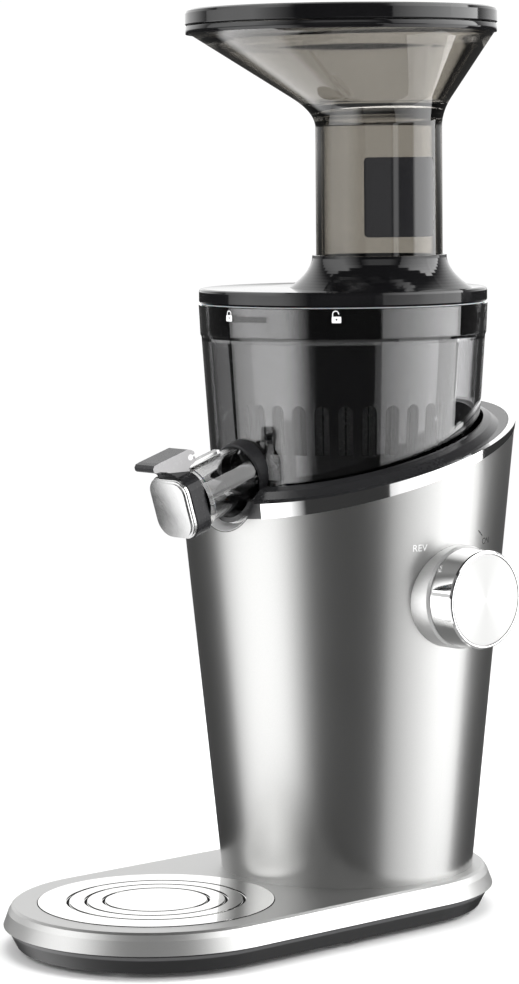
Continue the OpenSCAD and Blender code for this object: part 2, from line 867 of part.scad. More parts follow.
module drive_shaft() {
    tower_z = case_top_z + tower_h;
    color("#d0d2d5") {
        translate([0, 0, second_z]) cylinder(r = drive_r, h = tower_z + 1 - second_z);
        translate([0, 0, tower_z + 0.5]) cylinder(r = hex_r + 1, h = 1.5);
        translate([0, 0, tower_z + 2]) cylinder(r = hex_r, h = hex_top_z - 2 - tower_z - 2, $fn = 6);
        translate([0, 0, hex_top_z - 2]) cylinder(r = hex_r * 0.8, h = 2);
    }
}

module drive_bearings() {
    for (z = [case_top_z + 1, case_top_z + tower_h - bearing_h - 0.5]) {
        translate([0, 0, z]) ball_bearing(drive_r + 0.05);
    }
    color("#85888c") ring(bearing_r, bearing_r - 2, case_top_z + 1 + bearing_h, tower_h - 2 * bearing_h - 1.5);
}

module control_board() {
    z = base_z + 7;
    board_t = 1.6;
    posts = [[-26, -23], [26, -23], [-26, 23], [26, 23]];
    color("#2f6b3c") difference() {
        translate([-30, -27, z]) cube([60, 54, board_t]);
        at_each(posts) translate([0, 0, z - cut]) cylinder(r = 1.6, h = 4);
    }
    color("#c9cacb") at_each(posts) translate([0, 0, base_z]) {
        cylinder(r = 3, h = 7);
        cylinder(r = 1.5, h = 9);
    }
    translate([0, 0, z + board_t]) {
        color("#222326") translate([-10, 8, 0]) cube([16, 12, 9]);
        color("#222326") translate([-22, -14, 0]) cube([12, 18, 10]);
        color("#33415c") translate([12, -8, 0]) cylinder(r = 7, h = 11);
        color("#8d8f93") translate([-4, -18, 0]) cube([10, 14, 6]);
    }
}

// --- Bowl ---

// The bowl widens evenly from its foot to the step under its rim
step_up = bowl_h - 15;
step_out = 0.6;
function bowl_at(up) = let (foot = bowl_waist_r - 3.3)
    foot + (bowl_r - 0.7 - step_out - foot) * up / (step_up - 1.5);

// The outside of the bowl's wall, from its foot up to its rim
function bowl_wall_line() = let (heel = bowl_at(6)) [
    [heel - 3.6, 0], [heel - 1.4, 1.6], [heel, 6], [bowl_at(step_up - 1.5), step_up - 1.5],
    [bowl_r - 0.7, step_up], [bowl_r, bowl_h]
];

// Section of the bowl: up its outside, down its inside, and round the raised seat and the hub tube
function bowl_section() = let (w = bowl_wall, heel = bowl_at(9) - w, riser = seat_r - w) concat(
    bowl_wall_line(),
    [
        [bowl_r - w, bowl_h], [bowl_r - 1 - w, step_up - 1], [bowl_at(step_up - 3) - w, step_up - 3],
        [heel, 9], [heel - 1.2, 5.5], [heel - 3, w + 0.5], [heel - 5, w], [seat_r, w], [seat_r, seat_up],
        [hub_r, seat_up], [hub_r, hub_up], [hub_bore_r, hub_up], [hub_bore_r, 2], [hub_r, 2],
        [hub_r, seat_up - w], [riser, seat_up - w], [riser, 0]
    ]
);

// A hook under the bowl's rim, or on the lid, that spans an arc
module lugs(r_in, r_out, z, h, turn) {
    for (i = [0 : 2]) rotate([0, 0, i * 120 + turn]) translate([0, 0, z]) {
        rotate_extrude(angle = 30) polygon([[r_in, 0], [r_out, 0], [r_out, h], [r_in, h]]);
    }
}

// A block on the pulp duct's axis, centred across it
module pulp_block(w, h, from_x, to_x, z) {
    on_pulp() translate([from_x, -w / 2, z]) cube([to_x - from_x, w, h]);
}

module juice_bowl() {
    bore_r = spout_r - spout_wall;
    flange_h = 3;
    mouth = 6;
    duct_mouth = 12;
    duct_w = pulp_w + 2 * pulp_wall;
    duct_h = pulp_h + 2 * pulp_wall;
    color("#7f858a", 0.6) difference() {
        union() {
            translate([0, 0, bowl_z]) rotate_extrude() polygon(bowl_section());
            difference() {
                on_spout() union() {
                    cylinder(r = spout_r, h = spout_len);
                    translate([0, 0, spout_len - flange_h]) cylinder(r = flange_r, h = flange_h);
                }
                spout_inside();
            }
            difference() {
                pulp_block(duct_w, duct_h, seat_r - 1, pulp_reach, pulp_z - pulp_wall);
                pulp_block(pulp_w, pulp_wall + 2, pulp_reach - duct_mouth, far / 2, pulp_z - pulp_wall - 1);
            }
            lugs(bowl_r - bowl_wall - 1.9, bowl_r - bowl_wall + 1, lug_z, 3, lug_turn);
            spout_rib();
        }
        on_spout() translate([0, 0, -mouth]) cylinder(r = bore_r, h = spout_len + mouth + cut);
        pulp_block(pulp_w, pulp_h, hub_r + 6, pulp_reach + cut, pulp_z);
        pulp_block(pulp_w, seat_up, hub_r + 6, seat_r - 9, pulp_z);
    }
}

// What of the spout's root would stand into the juice channel, up to the middle of the bowl's wall
module spout_inside() {
    top = bowl_h / 2;
    half = bowl_wall / 2;
    translate([0, 0, bowl_z]) rotate_extrude() polygon([
        [0, half], [bowl_at(9) - half - 3, half], [bowl_at(9) - half, 8], [bowl_at(top) - half, top], [0, top]
    ]);
}

// The tongue on the spout that carries the cap's hinge pin
module spout_rib() {
    rib_start = 23;
    barrel_r = 2.6;
    difference() {
        on_spout() union() {
            translate([-rib_w / 2, spout_r - 1, rib_start]) cube([rib_w, 3.6, spout_len - rib_start]);
            translate([-rib_w / 2, hinge_y, hinge_z]) rotate([0, 90, 0]) cylinder(r = barrel_r, h = rib_w);
            translate([-rib_w / 2, spout_r + 2, hinge_z - barrel_r]) {
                cube([rib_w, hinge_y - spout_r - 2, spout_len - hinge_z + barrel_r]);
            }
        }
        on_spout() translate([-rib_w, hinge_y, hinge_z]) rotate([0, 90, 0]) {
            cylinder(r = cap_pin_r + 0.02, h = 2 * rib_w);
        }
    }
}

// A black ring round the spout's root that follows the bowl's wall
module spout_gasket() {
    start = 4;
    length = 9;
    thick = 1.4;
    color("#1d1e20") difference() {
        on_spout() translate([0, 0, start]) rotate_extrude() polygon([
            [spout_r + 0.02, 0], [spout_r + thick, 0], [spout_r + thick, length - 0.6],
            [spout_r + thick - 0.6, length], [spout_r + 0.02, length]
        ]);
        translate([0, 0, bowl_z]) rotate_extrude() polygon(concat(
            [[0, 0]], [for (p = bowl_wall_line()) [p[0] + seat, p[1]]], [[0, bowl_h]]
        ));
    }
}

module shaft_seal() {
    color("#c8ccd0") ring(hub_bore_r - seat / 5, hex_r + 0.9, hub_top_z - 5, 4);
}

// --- Strainer ---

module strainer_drum() {
    tab_turn = -45;
    tab_w = 17;
    tab_h = 6;
    color("#2c2d30") difference() {
        union() {
            translate([0, 0, seat_z]) difference() {
                cylinder(r1 = drum_foot_r, r2 = drum_top_r, h = drum_h);
                translate([0, 0, drum_floor]) {
                    cylinder(r1 = drum_foot_r - drum_wall, r2 = drum_top_r - drum_wall, h = drum_h);
                }
            }
            ring(drum_top_r + 2.5, drum_top_r - drum_wall, drum_top_z - 2.5, 2.5);
            rotate([0, 0, tab_turn]) translate([drum_top_r - 1.5, -tab_w / 2, drum_top_z - tab_h]) {
                cube([6, tab_w, tab_h]);
            }
        }
        translate([0, 0, seat_z - cut]) cylinder(r = seat_r - 8, h = drum_floor + 2 * cut);
        for (i = [0 : window_n - 1]) rotate([0, 0, (i + 0.5) * 360 / window_n]) drum_window();
    }
}

// A window with a round top, cut outwards through the drum's wall
module drum_window() {
    straight = window_h - window_w / 2;
    translate([drum_foot_r - 12, 0, seat_z + window_up]) {
        translate([0, -window_w / 2, 0]) cube([30, window_w, straight]);
        translate([0, 0, straight]) rotate([0, 90, 0]) cylinder(r = window_w / 2, h = 30);
    }
}

module strainer_screen() {
    slit_w = 1;
    screen_h = drum_h - 8;
    foot_r = drum_foot_r - drum_wall - screen_gap;
    top_r = foot_r + (drum_top_r - drum_foot_r) * screen_h / drum_h;
    color("#8e8a80") translate([0, 0, seat_z + drum_floor]) difference() {
        cylinder(r1 = foot_r, r2 = top_r, h = screen_h);
        translate([0, 0, -cut]) cylinder(r1 = foot_r - screen_t, r2 = top_r - screen_t, h = screen_h + 2 * cut);
        for (i = [0 : slit_n - 1]) rotate([0, 0, i * 360 / slit_n]) {
            translate([drum_foot_r - 12, -slit_w / 2, window_up - 6]) cube([30, slit_w, window_h + 6]);
        }
    }
}

// --- Pressing screw ---

// A closed skin over rings of points, bottom ring first, each ring counter-clockwise
module skin(rings) {
    n = len(rings[0]);
    m = len(rings);
    polyhedron(
        points = [for (ring = rings) each ring],
        faces = concat(
            [[for (j = [0 : n - 1]) j]],
            [for (i = [0 : m - 2]) for (j = [0 : n - 1]) let (
                low = i * n + j,
                low_next = i * n + (j + 1) % n,
                high = low + n,
                high_next = low_next + n
            ) each [[low, high, high_next], [low, high_next, low_next]]],
            [[for (j = [n - 1 : -1 : 0]) (m - 1) * n + j]]
        ),
        convexity = 8
    );
}

// Radius of the screw's core and of its flights, t from 0 at the foot to 1 at the tip
core_top_r = 9;
function core_r(t) = core_top_r + (auger_r - 9.5 - core_top_r) * pow(1 - t, 1.6);
function flight_r(t) = t < 0.06 ? auger_r - 6.5 * (1 - t / 0.06)
    : t < 0.5 ? auger_r
    : max(core_r(t) + 0.5, auger_r - (auger_r - core_top_r - 0.5) * pow((t - 0.5) / 0.5, 2));
function flight_turn(t) = 360 * auger_turns * (t + 0.35 * t * t) / 1.35;

// Share of the flight's height at angle a from the middle of the nearest flight
function ridge(a) = exp(-pow(a / 14, 2));
function from_ridge(a) = let (span = 360 / auger_starts, b = (a % span + span) % span) min(b, span - b);

// Distance from the axis to a hexagon's outline in direction a, for a corner radius r
function hexagon(r, a) = r * cos(30) / cos((a % 60 + 60) % 60 - 30);

// The screw is one skin: down inside its socket, round its foot, and up its flights to the tip
module auger() {
    points = 36;
    rings = 36;
    step = 360 / points;
    collar_in_r = hub_r + 0.6;
    collar_z = hub_top_z + 0.6;
    socket = [for (j = [0 : points - 1]) polar(hexagon(hex_r + gap, j * step), j * step)];
    counterbore = [for (j = [0 : points - 1]) polar(collar_in_r, j * step)];
    tip = [for (j = [0 : points - 1]) polar(tip_r, j * step)];
    function at(outline, z) = [for (p = outline) [p[0], p[1], z]];
    color("#3b3a3c") skin(concat(
        [at(tip, hex_top_z + 1), at(socket, hex_top_z + 1), at(socket, collar_z)],
        [at(counterbore, collar_z), at(counterbore, auger_z)],
        [for (i = [0 : rings]) let (t = i / rings) [for (j = [0 : points - 1]) let (
            a = j * step,
            r = core_r(t) + (flight_r(t) - core_r(t)) * ridge(from_ridge(a))
        ) concat(polar(r, a + flight_turn(t)), auger_z + t * auger_h)]],
        [at(tip, auger_top_z + 0.1), at(tip, tip_z)]
    ));
}

// --- Spout cap ---

// The cap's outline, an upright plate with wide round corners
module cap_outline(grow) {
    top_r = 8;
    low_r = 9.5;
    hull() {
        for (side = [-1, 1]) {
            translate([side * (cap_w / 2 - top_r), 0.8 + cap_w / 2 - top_r]) circle(top_r + grow, $fn = 32);
            translate([side * (cap_w / 2 - low_r), low_r - cap_w / 2 - 2]) circle(low_r + grow, $fn = 32);
        }
    }
}

// Side view of the clip with its thumb lever, as height over the spout against length along it
function clip_side() = let (
    front = cap_z + cap_body_t,
    back = hinge_z + 0.4,
    tip = back + lever_len
) [
    [9, cap_z], [9, front], [spout_r + 0.2, front], [spout_r + 2, front + 0.8], [hinge_y - 1.6, front + 5.4],
    [lever_y - 4.2, tip - 3.4], [lever_y - 4, tip - 1], [lever_y - 3, tip], [lever_y - 1.4, tip],
    [lever_y - 0.2, tip - 1.2], [lever_y, tip - 4], [lever_y, back], [lever_y - 1, back - 2],
    [hinge_y + 2, hinge_z - 3], [hinge_y - 2.2, hinge_z - 2.8], [hinge_y - 3.4, hinge_z - 1.4],
    [hinge_y - 3.8, cap_z - 1], [flange_r + 0.8, cap_z - 1], [flange_r + 0.8, cap_z]
];

module cap_body() {
    slot_top = 3.2;
    color("#242528") difference() {
        on_spout() union() {
            translate([0, 0, cap_z]) linear_extrude(cap_body_t) cap_outline(0.2);
            translate([-lever_w / 2, 0, 0]) rotate([90, 0, 90]) linear_extrude(lever_w) polygon(clip_side());
        }
        on_spout() translate([-lever_w, hinge_y, hinge_z]) rotate([0, 90, 0]) {
            cylinder(r = cap_pin_r + run, h = 2 * lever_w);
        }
        on_spout() translate([-lever_w, hinge_y - 0.7, hinge_z - 6]) cube([2 * lever_w, 1.4, 6]);
        on_spout() translate([-rib_w / 2 - gap, hinge_y - 12, hinge_z - 8]) {
            cube([rib_w + 2 * gap, 12 + slot_top, 8 + 3.6]);
        }
    }
}

module cap_plate() {
    bevel = 0.8;
    color("#e8e9ea") on_spout() translate([0, 0, cap_z + cap_body_t]) {
        linear_extrude(cap_plate_t - 2 * bevel) cap_outline(-0.4);
        translate([0, 0, cap_plate_t - 2 * bevel]) linear_extrude(bevel) cap_outline(-0.9);
        translate([0, 0, cap_plate_t - bevel]) linear_extrude(bevel) cap_outline(-2);
    }
}

module cap_seal() {
    color("#d7dadd") on_spout() translate([0, 0, cap_z - 0.2]) cylinder(r = spout_r - 0.7, h = 0.2);
}

module cap_pin() {
    color("silver") on_spout() translate([-lever_w / 2, hinge_y, hinge_z]) rotate([0, 90, 0]) {
        cylinder(r = cap_pin_r, h = lever_w);
    }
}

// --- Lid and hopper ---

module bowl_lid() {
    boss_r = 7.5;
    boss_top = lid_z + 1;
    skirt_r = bowl_r - bowl_wall - 2.2;
    skirt_h = 16;
    way_r = feed_r - hopper_wall - 1;
    color("#121315") difference() {
        union() {
            translate([0, 0, lid_z]) rotate_extrude() polygon([
                [0, 0], [lid_r - 1, 0], [lid_r, 1], [lid_r, lid_h - 1.6], [lid_r - 0.5, lid_h - 0.5],
                [lid_r - 1.6, lid_h], [lid_r / 2, lid_h + 0.8], [0, lid_h + 1]
            ]);
            intersection() {
                translate([feed_offset, 0, lid_top_z - 1]) rotate_extrude() polygon(concat(
                    [[0, 0], [feed_r + 15, 0], [feed_r + 15, 1]],
                    [for (a = [5 : 5 : 60]) [feed_r + 2 + 13 * pow(1 - a / 60, 2), 1 + (collar_h) * a / 60]],
                    [[0, collar_h + 1]]
                ));
                cylinder(r = lid_r - 0.6, h = far * 2);
            }
            ring(skirt_r, skirt_r - 2.6, lid_z - skirt_h, skirt_h + 1);
            lugs(skirt_r - 0.8, skirt_r + 1.1, lug_z - 3.5, 3, lug_turn);
        }
        translate([feed_offset, 0, feed_z]) cylinder(r = feed_r + 0.2, h = far);
        difference() {
            translate([feed_offset, 0, lid_z - 30]) cylinder(r = way_r, h = far / 4);
            cylinder(r = boss_r, h = lid_top_z);
        }
    }
    color("#121315") difference() {
        translate([0, 0, auger_top_z + 1]) cylinder(r = boss_r, h = boss_top - auger_top_z - 1);
        translate([0, 0, auger_top_z]) cylinder(r = tip_r + run, h = tip_z + 0.5 - auger_top_z);
    }
}

module lid_seal() {
    color("#9a9da1") ring(bowl_r - 1.5, bowl_r - bowl_wall + 0.4, bowl_top_z + 0.3, 0.5);
}

// A closed skin over rings that come back to the first, as round a tube's wall
module looped_skin(rings) {
    n = len(rings[0]);
    m = len(rings);
    polyhedron(
        points = [for (ring = rings) each ring],
        faces = [for (i = [0 : m - 1]) for (j = [0 : n - 1])
            [i * n + j, (i + 1) % m * n + j, (i + 1) % m * n + (j + 1) % n, i * n + (j + 1) % n]],
        convexity = 6
    );
}

// Radius of the hopper's outside at height z: a tube that opens through a soft bend into a cone
function hopper_r(z) = let (d = z - funnel_z)
    d < -bend ? feed_r
    : d > bend ? feed_r + funnel_slope * d
    : feed_r + funnel_slope * pow(d + bend, 2) / (4 * bend);
// The rings' middles slide from the feed tube's axis to the drive axis as they grow
function hopper_x(r) = feed_offset * (rim_r - r) / (rim_r - feed_r);
function hopper_ring(z, r, inset, n) = [for (j = [0 : n - 1]) let (a = j * 360 / n)
    [hopper_x(r) + (r - inset) * cos(a), (r - inset) * sin(a), z]];

module feed_hopper() {
    n = 64;
    bend_z = [for (k = [-1 : 0.25 : 1]) funnel_z + k * bend];
    lip = rim_r - 2.8;
    color("#8b857b", 0.6) looped_skin(concat(
        [hopper_ring(feed_z + seat, feed_r, 0, n)],
        [for (z = bend_z) hopper_ring(z, hopper_r(z), 0, n)],
        [hopper_ring(funnel_top_z, hopper_r(funnel_top_z), 0, n)],
        [hopper_ring(funnel_top_z + 0.6, rim_r, 0, n)],
        [hopper_ring(rim_top_z, rim_r, 0, n)],
        [hopper_ring(rim_top_z, rim_r, 2.8, n)],
        [hopper_ring(funnel_top_z + 1, rim_r, 4, n)],
        [for (k = [8 : -1 : 0]) let (z = bend_z[k], wall = hopper_wall + 0.08 * (z - bend_z[0]))
            hopper_ring(z, hopper_r(z), wall, n)],
        [hopper_ring(feed_z + seat, feed_r, hopper_wall, n)]
    ));
}

module top_cover() {
    lip_r = rim_r - 4.4;
    color("#0f1012") translate([0, 0, cover_z]) rotate_extrude() polygon([
        [0, 4.6], [lip_r - 6, 4.6], [lip_r - 2.4, 3.4], [lip_r - 2.4, -3], [lip_r, -3], [lip_r, 0],
        [cover_r - 0.8, 0], [cover_r, 0.8], [cover_r, cover_h - 2], [cover_r - 0.6, cover_h - 0.7],
        [cover_r - 2, cover_h], [0, cover_h]
    ]);
}

base_tray();
base_feet();
base_screws();
base_plate();
cup_rest();
body_shell();
rim_trim();
deck();
knob_boss();
rotary_switch();
cord_gland();
frame_posts();
lower_bracket();
upper_bracket();
gear_plate();
stator();
windings();
motor_bearings();
rotor_core();
motor_shaft();
motor_pinion();
cooling_fan();
gearbox_case();
gearbox_lid();
idler_axle();
idler_gear();
idler_pinion();
output_gear();
drive_shaft();
drive_bearings();
control_board();
knob_shaft();
knob_ring();
knob_face();
juice_bowl();
spout_gasket();
shaft_seal();
strainer_drum();
strainer_screen();
auger();
cap_pin();
cap_body();
cap_plate();
cap_seal();
bowl_lid();
lid_seal();
feed_hopper();
top_cover();
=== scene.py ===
# Vertical slow juicer: the looks, put together from the base up to the cover.
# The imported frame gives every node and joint. All lengths are metres.
import math

import bpy
import numpy as np
from mathutils import Matrix, Vector


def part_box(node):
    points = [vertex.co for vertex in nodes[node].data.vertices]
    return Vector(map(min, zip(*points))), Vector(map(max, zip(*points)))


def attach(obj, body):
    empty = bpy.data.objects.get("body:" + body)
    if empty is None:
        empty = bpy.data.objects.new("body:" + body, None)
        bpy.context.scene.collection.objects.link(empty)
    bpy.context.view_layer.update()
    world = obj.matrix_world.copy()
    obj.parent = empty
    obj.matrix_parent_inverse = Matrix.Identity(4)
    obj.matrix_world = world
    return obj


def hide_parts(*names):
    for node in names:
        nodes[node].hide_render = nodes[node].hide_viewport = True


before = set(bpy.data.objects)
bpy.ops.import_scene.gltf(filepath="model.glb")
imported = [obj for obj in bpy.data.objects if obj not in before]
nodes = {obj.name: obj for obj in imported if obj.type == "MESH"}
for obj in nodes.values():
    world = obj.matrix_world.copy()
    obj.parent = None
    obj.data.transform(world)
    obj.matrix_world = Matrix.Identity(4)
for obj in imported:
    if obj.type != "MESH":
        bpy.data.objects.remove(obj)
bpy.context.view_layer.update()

# --- Camera ---
# A long lens at the height of the bowl, 47 degrees round to the right of the spout.
# The picture is 519 x 984, and the lens is set for its long side.
azimuth = math.radians(46.991)
distance = 1.70767
eye_height = 0.38847
pitch = math.radians(5.714)
roll = math.radians(0.556)
yaw = math.radians(1.473)
focal_px = 3313.37
long_side_px = 984

eye = Vector((math.sin(azimuth) * distance, -math.cos(azimuth) * distance, eye_height))
heading = Vector((-math.sin(azimuth + yaw), math.cos(azimuth + yaw), 0))
ahead = heading * math.cos(pitch) + Vector((0, 0, -math.sin(pitch)))
side = ahead.cross(Vector((0, 0, 1))).normalized()
above = side.cross(ahead)
right = side * math.cos(roll) - above * math.sin(roll)
up = side * math.sin(roll) + above * math.cos(roll)

lens = bpy.data.cameras.new("camera")
lens.sensor_fit = "AUTO"
lens.sensor_width = 36
lens.lens = focal_px * lens.sensor_width / long_side_px
lens.clip_end = 50
camera = bpy.data.objects.new("camera", lens)
camera.matrix_world = Matrix((
    (right.x, up.x, -ahead.x, eye.x),
    (right.y, up.y, -ahead.y, eye.y),
    (right.z, up.z, -ahead.z, eye.z),
    (0, 0, 0, 1),
))
scene = bpy.context.scene
scene.collection.objects.link(camera)
scene.camera = camera
scene.view_settings.view_transform = "Standard"
scene.view_settings.look = "None"


# --- Studio ---
# A white floor that runs out into a white room. Two tall softboxes stand left and right,
# and a lamp hangs overhead. Polished pieces see a dark room between the softboxes.
class Wire:
    """An output socket of a node tree. Arithmetic on it adds Math nodes, so 1 - mask is an expression."""

    def __init__(self, socket):
        self.socket = socket

    def node(self, kind, settings=None, inputs=None, output=0):
        return add_node(self.socket.id_data, kind, settings, inputs, output)

    def math(self, operation, *values):
        return self.node("ShaderNodeMath", {"operation": operation}, dict(enumerate(values)))

    def ramp(self, low, high):
        """Rises smoothly from 0 at low to 1 at high."""
        return self.node("ShaderNodeMapRange", {"interpolation_type": "SMOOTHSTEP"}, {0: self, 1: low, 2: high})

    def cloud(self, scale, detail=2, stretch=(1, 1, 1)):
        """Soft noise from 0 to 1 at this place, stretched first."""
        return self.node("ShaderNodeTexNoise", None, {"Vector": self.scaled(stretch), "Scale": scale, "Detail": detail})

    def rings(self, axis, scale, distortion):
        """Waves from 0 to 1 in rings round an axis."""
        return self.node("ShaderNodeTexWave", {"wave_type": "RINGS", "rings_direction": axis},
                         {"Vector": self, "Scale": scale, "Distortion": distortion}, "Fac")

    def part(self, axis):
        """This vector's own X, Y or Z."""
        return self.node("ShaderNodeSeparateXYZ", None, {0: self}, axis)

    def length(self):
        return self.node("ShaderNodeVectorMath", {"operation": "LENGTH"}, {0: self}, "Value")

    def along(self, way):
        """How far this vector reaches along a unit direction."""
        return self.node("ShaderNodeVectorMath", {"operation": "DOT_PRODUCT"}, {0: self, 1: way}, "Value")

    def scaled(self, shares):
        """This vector with each part times its share, so a share of 0 flattens it."""
        return self.node("ShaderNodeVectorMath", {"operation": "MULTIPLY"}, {0: self, 1: shares})

    def centred(self, middle):
        """This place measured from a piece's middle."""
        return self.node("ShaderNodeMapping", {"vector_type": "POINT"}, {"Vector": self, "Location": -middle})

    def shade(self, low, high):
        """A colour between two, by this share."""
        return self.node("ShaderNodeMix", {"data_type": "RGBA"}, {0: self, 6: low, 7: high}, 2)

    def bump(self, height):
        """A surface lifted by this share of the height."""
        return self.node("ShaderNodeBump", None, {"Distance": height, "Height": self})

    def __add__(self, other):
        return self.math("ADD", self, other)

    def __sub__(self, other):
        return self.math("SUBTRACT", self, other)

    def __rsub__(self, other):
        return self.math("SUBTRACT", other, self)

    def __mul__(self, other):
        return self.math("MULTIPLY", self, other)

    def __truediv__(self, other):
        return self.math("DIVIDE", self, other)

    def __gt__(self, other):
        return self.math("GREATER_THAN", self, other)

    __radd__ = __add__
    __rmul__ = __mul__


def add_node(tree, kind, settings=None, inputs=None, output=0):
    """Adds one node: first its settings, then the values or links of its sockets."""
    made = tree.nodes.new(kind)
    for key, value in (settings or {}).items():
        setattr(made, key, value)
    for key, value in (inputs or {}).items():
        if isinstance(value, Wire):
            tree.links.new(value.socket, made.inputs[key])
        else:
            made.inputs[key].default_value = value
    return Wire(made.outputs[output])


world = bpy.data.worlds.new("white_room")
world.use_nodes = True
scene.world = world
room = world.node_tree
room.nodes.clear()
direction = add_node(room, "ShaderNodeTexCoord", output="Generated")
toward_back = direction.along(heading)
toward_right = direction.along(heading.cross(Vector((0, 0, 1))))
height_seen = direction.part("Z")

# Gloss mirrors a dark room, its lit back wall above the table and the table's own glow, stronger at the back left.
dark_room, wall_glow = 0.04, 1.3
back_wall = toward_back.ramp(0.35, 0.8)
left_back = toward_back.ramp(0, 0.2) * (1 - toward_right.ramp(-0.2, 0))
table_glow = (1 - height_seen.ramp(-0.6, -0.45)) * (0.4 + 1.3 * left_back)
seen_in_gloss = dark_room + back_wall * height_seen.ramp(-0.03, 0.06) * wall_glow + table_glow

# Clear walls show a narrow bright field straight behind, brighter at its right and dimmed low at its left, and
# darkness beside it, which draws their edges in black.
dark_side = 0.03
bright_field = toward_back.ramp(0.93, 0.975) * toward_right.ramp(-0.26, -0.14) * (1 - toward_right.ramp(0.2, 0.26))
low_left = (1 - toward_right.ramp(-0.05, 0.03)) * (1 - height_seen.ramp(-0.045, -0.02))
seen_through_clear = dark_side + bright_field * (0.97 + 0.4 * toward_right.ramp(0.1, 0.15)) * (1 - 0.75 * low_left)
seen_in_paint, seen_by_camera = 0.85, 1.02
rays = direction.node("ShaderNodeLightPath", output="Is Camera Ray")
glossy = direction.node("ShaderNodeLightPath", output="Is Glossy Ray")
through = direction.node("ShaderNodeLightPath", output="Is Transmission Ray")
level = seen_in_paint + glossy * (seen_in_gloss - seen_in_paint)
level = level + through * (seen_through_clear - level)
level = level + rays * (seen_by_camera - level)
sky = add_node(room, "ShaderNodeBackground", None, {"Color": level, "Strength": 1})
outlet = room.nodes.new("ShaderNodeOutputWorld")
room.links.new(sky.socket, outlet.inputs["Surface"])


def skin(name, points, loop=False, sharp=40):
    """A closed mesh over rings of points, an array (rings, points, 3). Each ring runs round to its own start.
    The last ring joins the first in a loop; otherwise each end closes in a fan on the ring's middle."""
    rings, around = points.shape[:2]
    row = np.arange(rings if loop else rings - 1)[:, None]
    step = np.arange(around)[None, :]
    a = row * around + step
    b = row * around + (step + 1) % around
    c = (row + 1) % rings * around + (step + 1) % around
    d = (row + 1) % rings * around + step
    faces = np.stack([a, b, c, d], -1).reshape(-1, 4).tolist()
    corners = points.reshape(-1, 3)
    if not loop:
        turn = np.arange(around)
        corners = np.vstack([corners, points[0].mean(0), points[-1].mean(0)])
        foot, top = rings * around, rings * around + 1
        last = (rings - 1) * around
        faces += np.stack([(turn + 1) % around, turn, np.full(around, foot)], -1).tolist()
        faces += np.stack([last + turn, last + (turn + 1) % around, np.full(around, top)], -1).tolist()
    return build_mesh(name, corners, faces, sharp)


def build_mesh(name, corners, faces, sharp=40):
    """An object from corners and faces, smooth except where faces meet at more than the sharp angle."""
    mesh = bpy.data.meshes.new(name)
    mesh.from_pydata(np.asarray(corners).tolist(), [], faces)
    mesh.polygons.foreach_set("use_smooth", np.ones(len(mesh.polygons), bool))
    mesh.set_sharp_from_angle(angle=math.radians(sharp))
    mesh.update()
    made = bpy.data.objects.new(name, mesh)
    scene.collection.objects.link(made)
    return made


def softbox(name, angles, glow, low, high, seen_through=False):
    """A tall curved lamp round the juicer. Its glow runs between the given angles off the camera's own, from the
    low height to the high. Gloss behind clear walls mirrors only a lamp that is seen through them."""
    reach, count = 1.6, 49
    spread = np.linspace(angles[0], angles[-1], count)
    turn = np.radians(spread) + azimuth - math.pi / 2
    foot = np.stack([reach * np.cos(turn), reach * np.sin(turn), np.full(count, low)], -1)
    k = np.arange(count - 1)
    faces = np.stack([k, k + 1, k + count + 1, k + count], -1).tolist()
    lamp = build_mesh(name, np.vstack([foot, foot + (0, 0, high - low)]), faces)
    share = lamp.data.attributes.new("glow", "FLOAT", "POINT")
    share.data.foreach_set("value", np.tile(np.interp(spread, angles, glow), 2))
    look = bpy.data.materials.new(name)
    look.use_nodes = True
    look.node_tree.nodes.clear()
    strength = add_node(look.node_tree, "ShaderNodeAttribute", {"attribute_name": "glow"}, output="Fac")
    light = strength.node("ShaderNodeEmission", None, {"Strength": strength})
    end = look.node_tree.nodes.new("ShaderNodeOutputMaterial")
    look.node_tree.links.new(light.socket, end.inputs["Surface"])
    lamp.data.materials.append(look)
    lamp.visible_camera = False
    lamp.visible_transmission = seen_through


# The softboxes stand in tiers: low for the body and the bowl, middle for the feed tube, high
# for the funnel and the cover. A dimmer foot ends the right one, which the funnel's underside mirrors.
low_tier, high_tier = 0.27, 0.45
softbox("left_low", angles=(-101, -92, -80, -50, -42, -35, -26), glow=(1.2, 1.85, 2.5, 2.65, 2, 1, 0), low=-1.5,
        high=low_tier, seen_through=True)
softbox("left_middle", angles=(-112, -92, -60, -32), glow=(0, 0.7, 0.9, 0), low=low_tier, high=high_tier)
softbox("left_high", angles=(-114, -90, -66, -32), glow=(1, 2.2, 2.8, 0), low=high_tier, high=2.2)
softbox("right_low", angles=(31, 42, 60, 80, 86), glow=(0.9, 1.4, 2.15, 3.1, 3.1), low=-0.5, high=low_tier,
        seen_through=True)
softbox("right_edge", angles=(86, 106), glow=(3.1, 3.1), low=-0.5, high=low_tier, seen_through=True)
softbox("right_foot", angles=(31, 42, 60, 80, 104), glow=(0.8, 1.2, 1.5, 1.8, 1.8), low=-1.1, high=-0.5)
softbox("right_strip", angles=(24, 27, 33, 36), glow=(0, 1.2, 1.2, 0), low=low_tier, high=high_tier)
softbox("right_middle", angles=(62, 68, 100, 122), glow=(0, 2.5, 2.7, 2.7), low=low_tier, high=high_tier)
softbox("right_high", angles=(37, 60, 90, 117), glow=(1.1, 3, 4.6, 5), low=high_tier, high=2.2)
softbox("front_glow", angles=(-26, -22, 20, 24), glow=(0, 0.3, 0.3, 0), low=low_tier, high=high_tier)
softbox("front_high", angles=(-34, -18, 18, 34), glow=(0, 0.9, 0.9, 0), low=0.8, high=1.5)

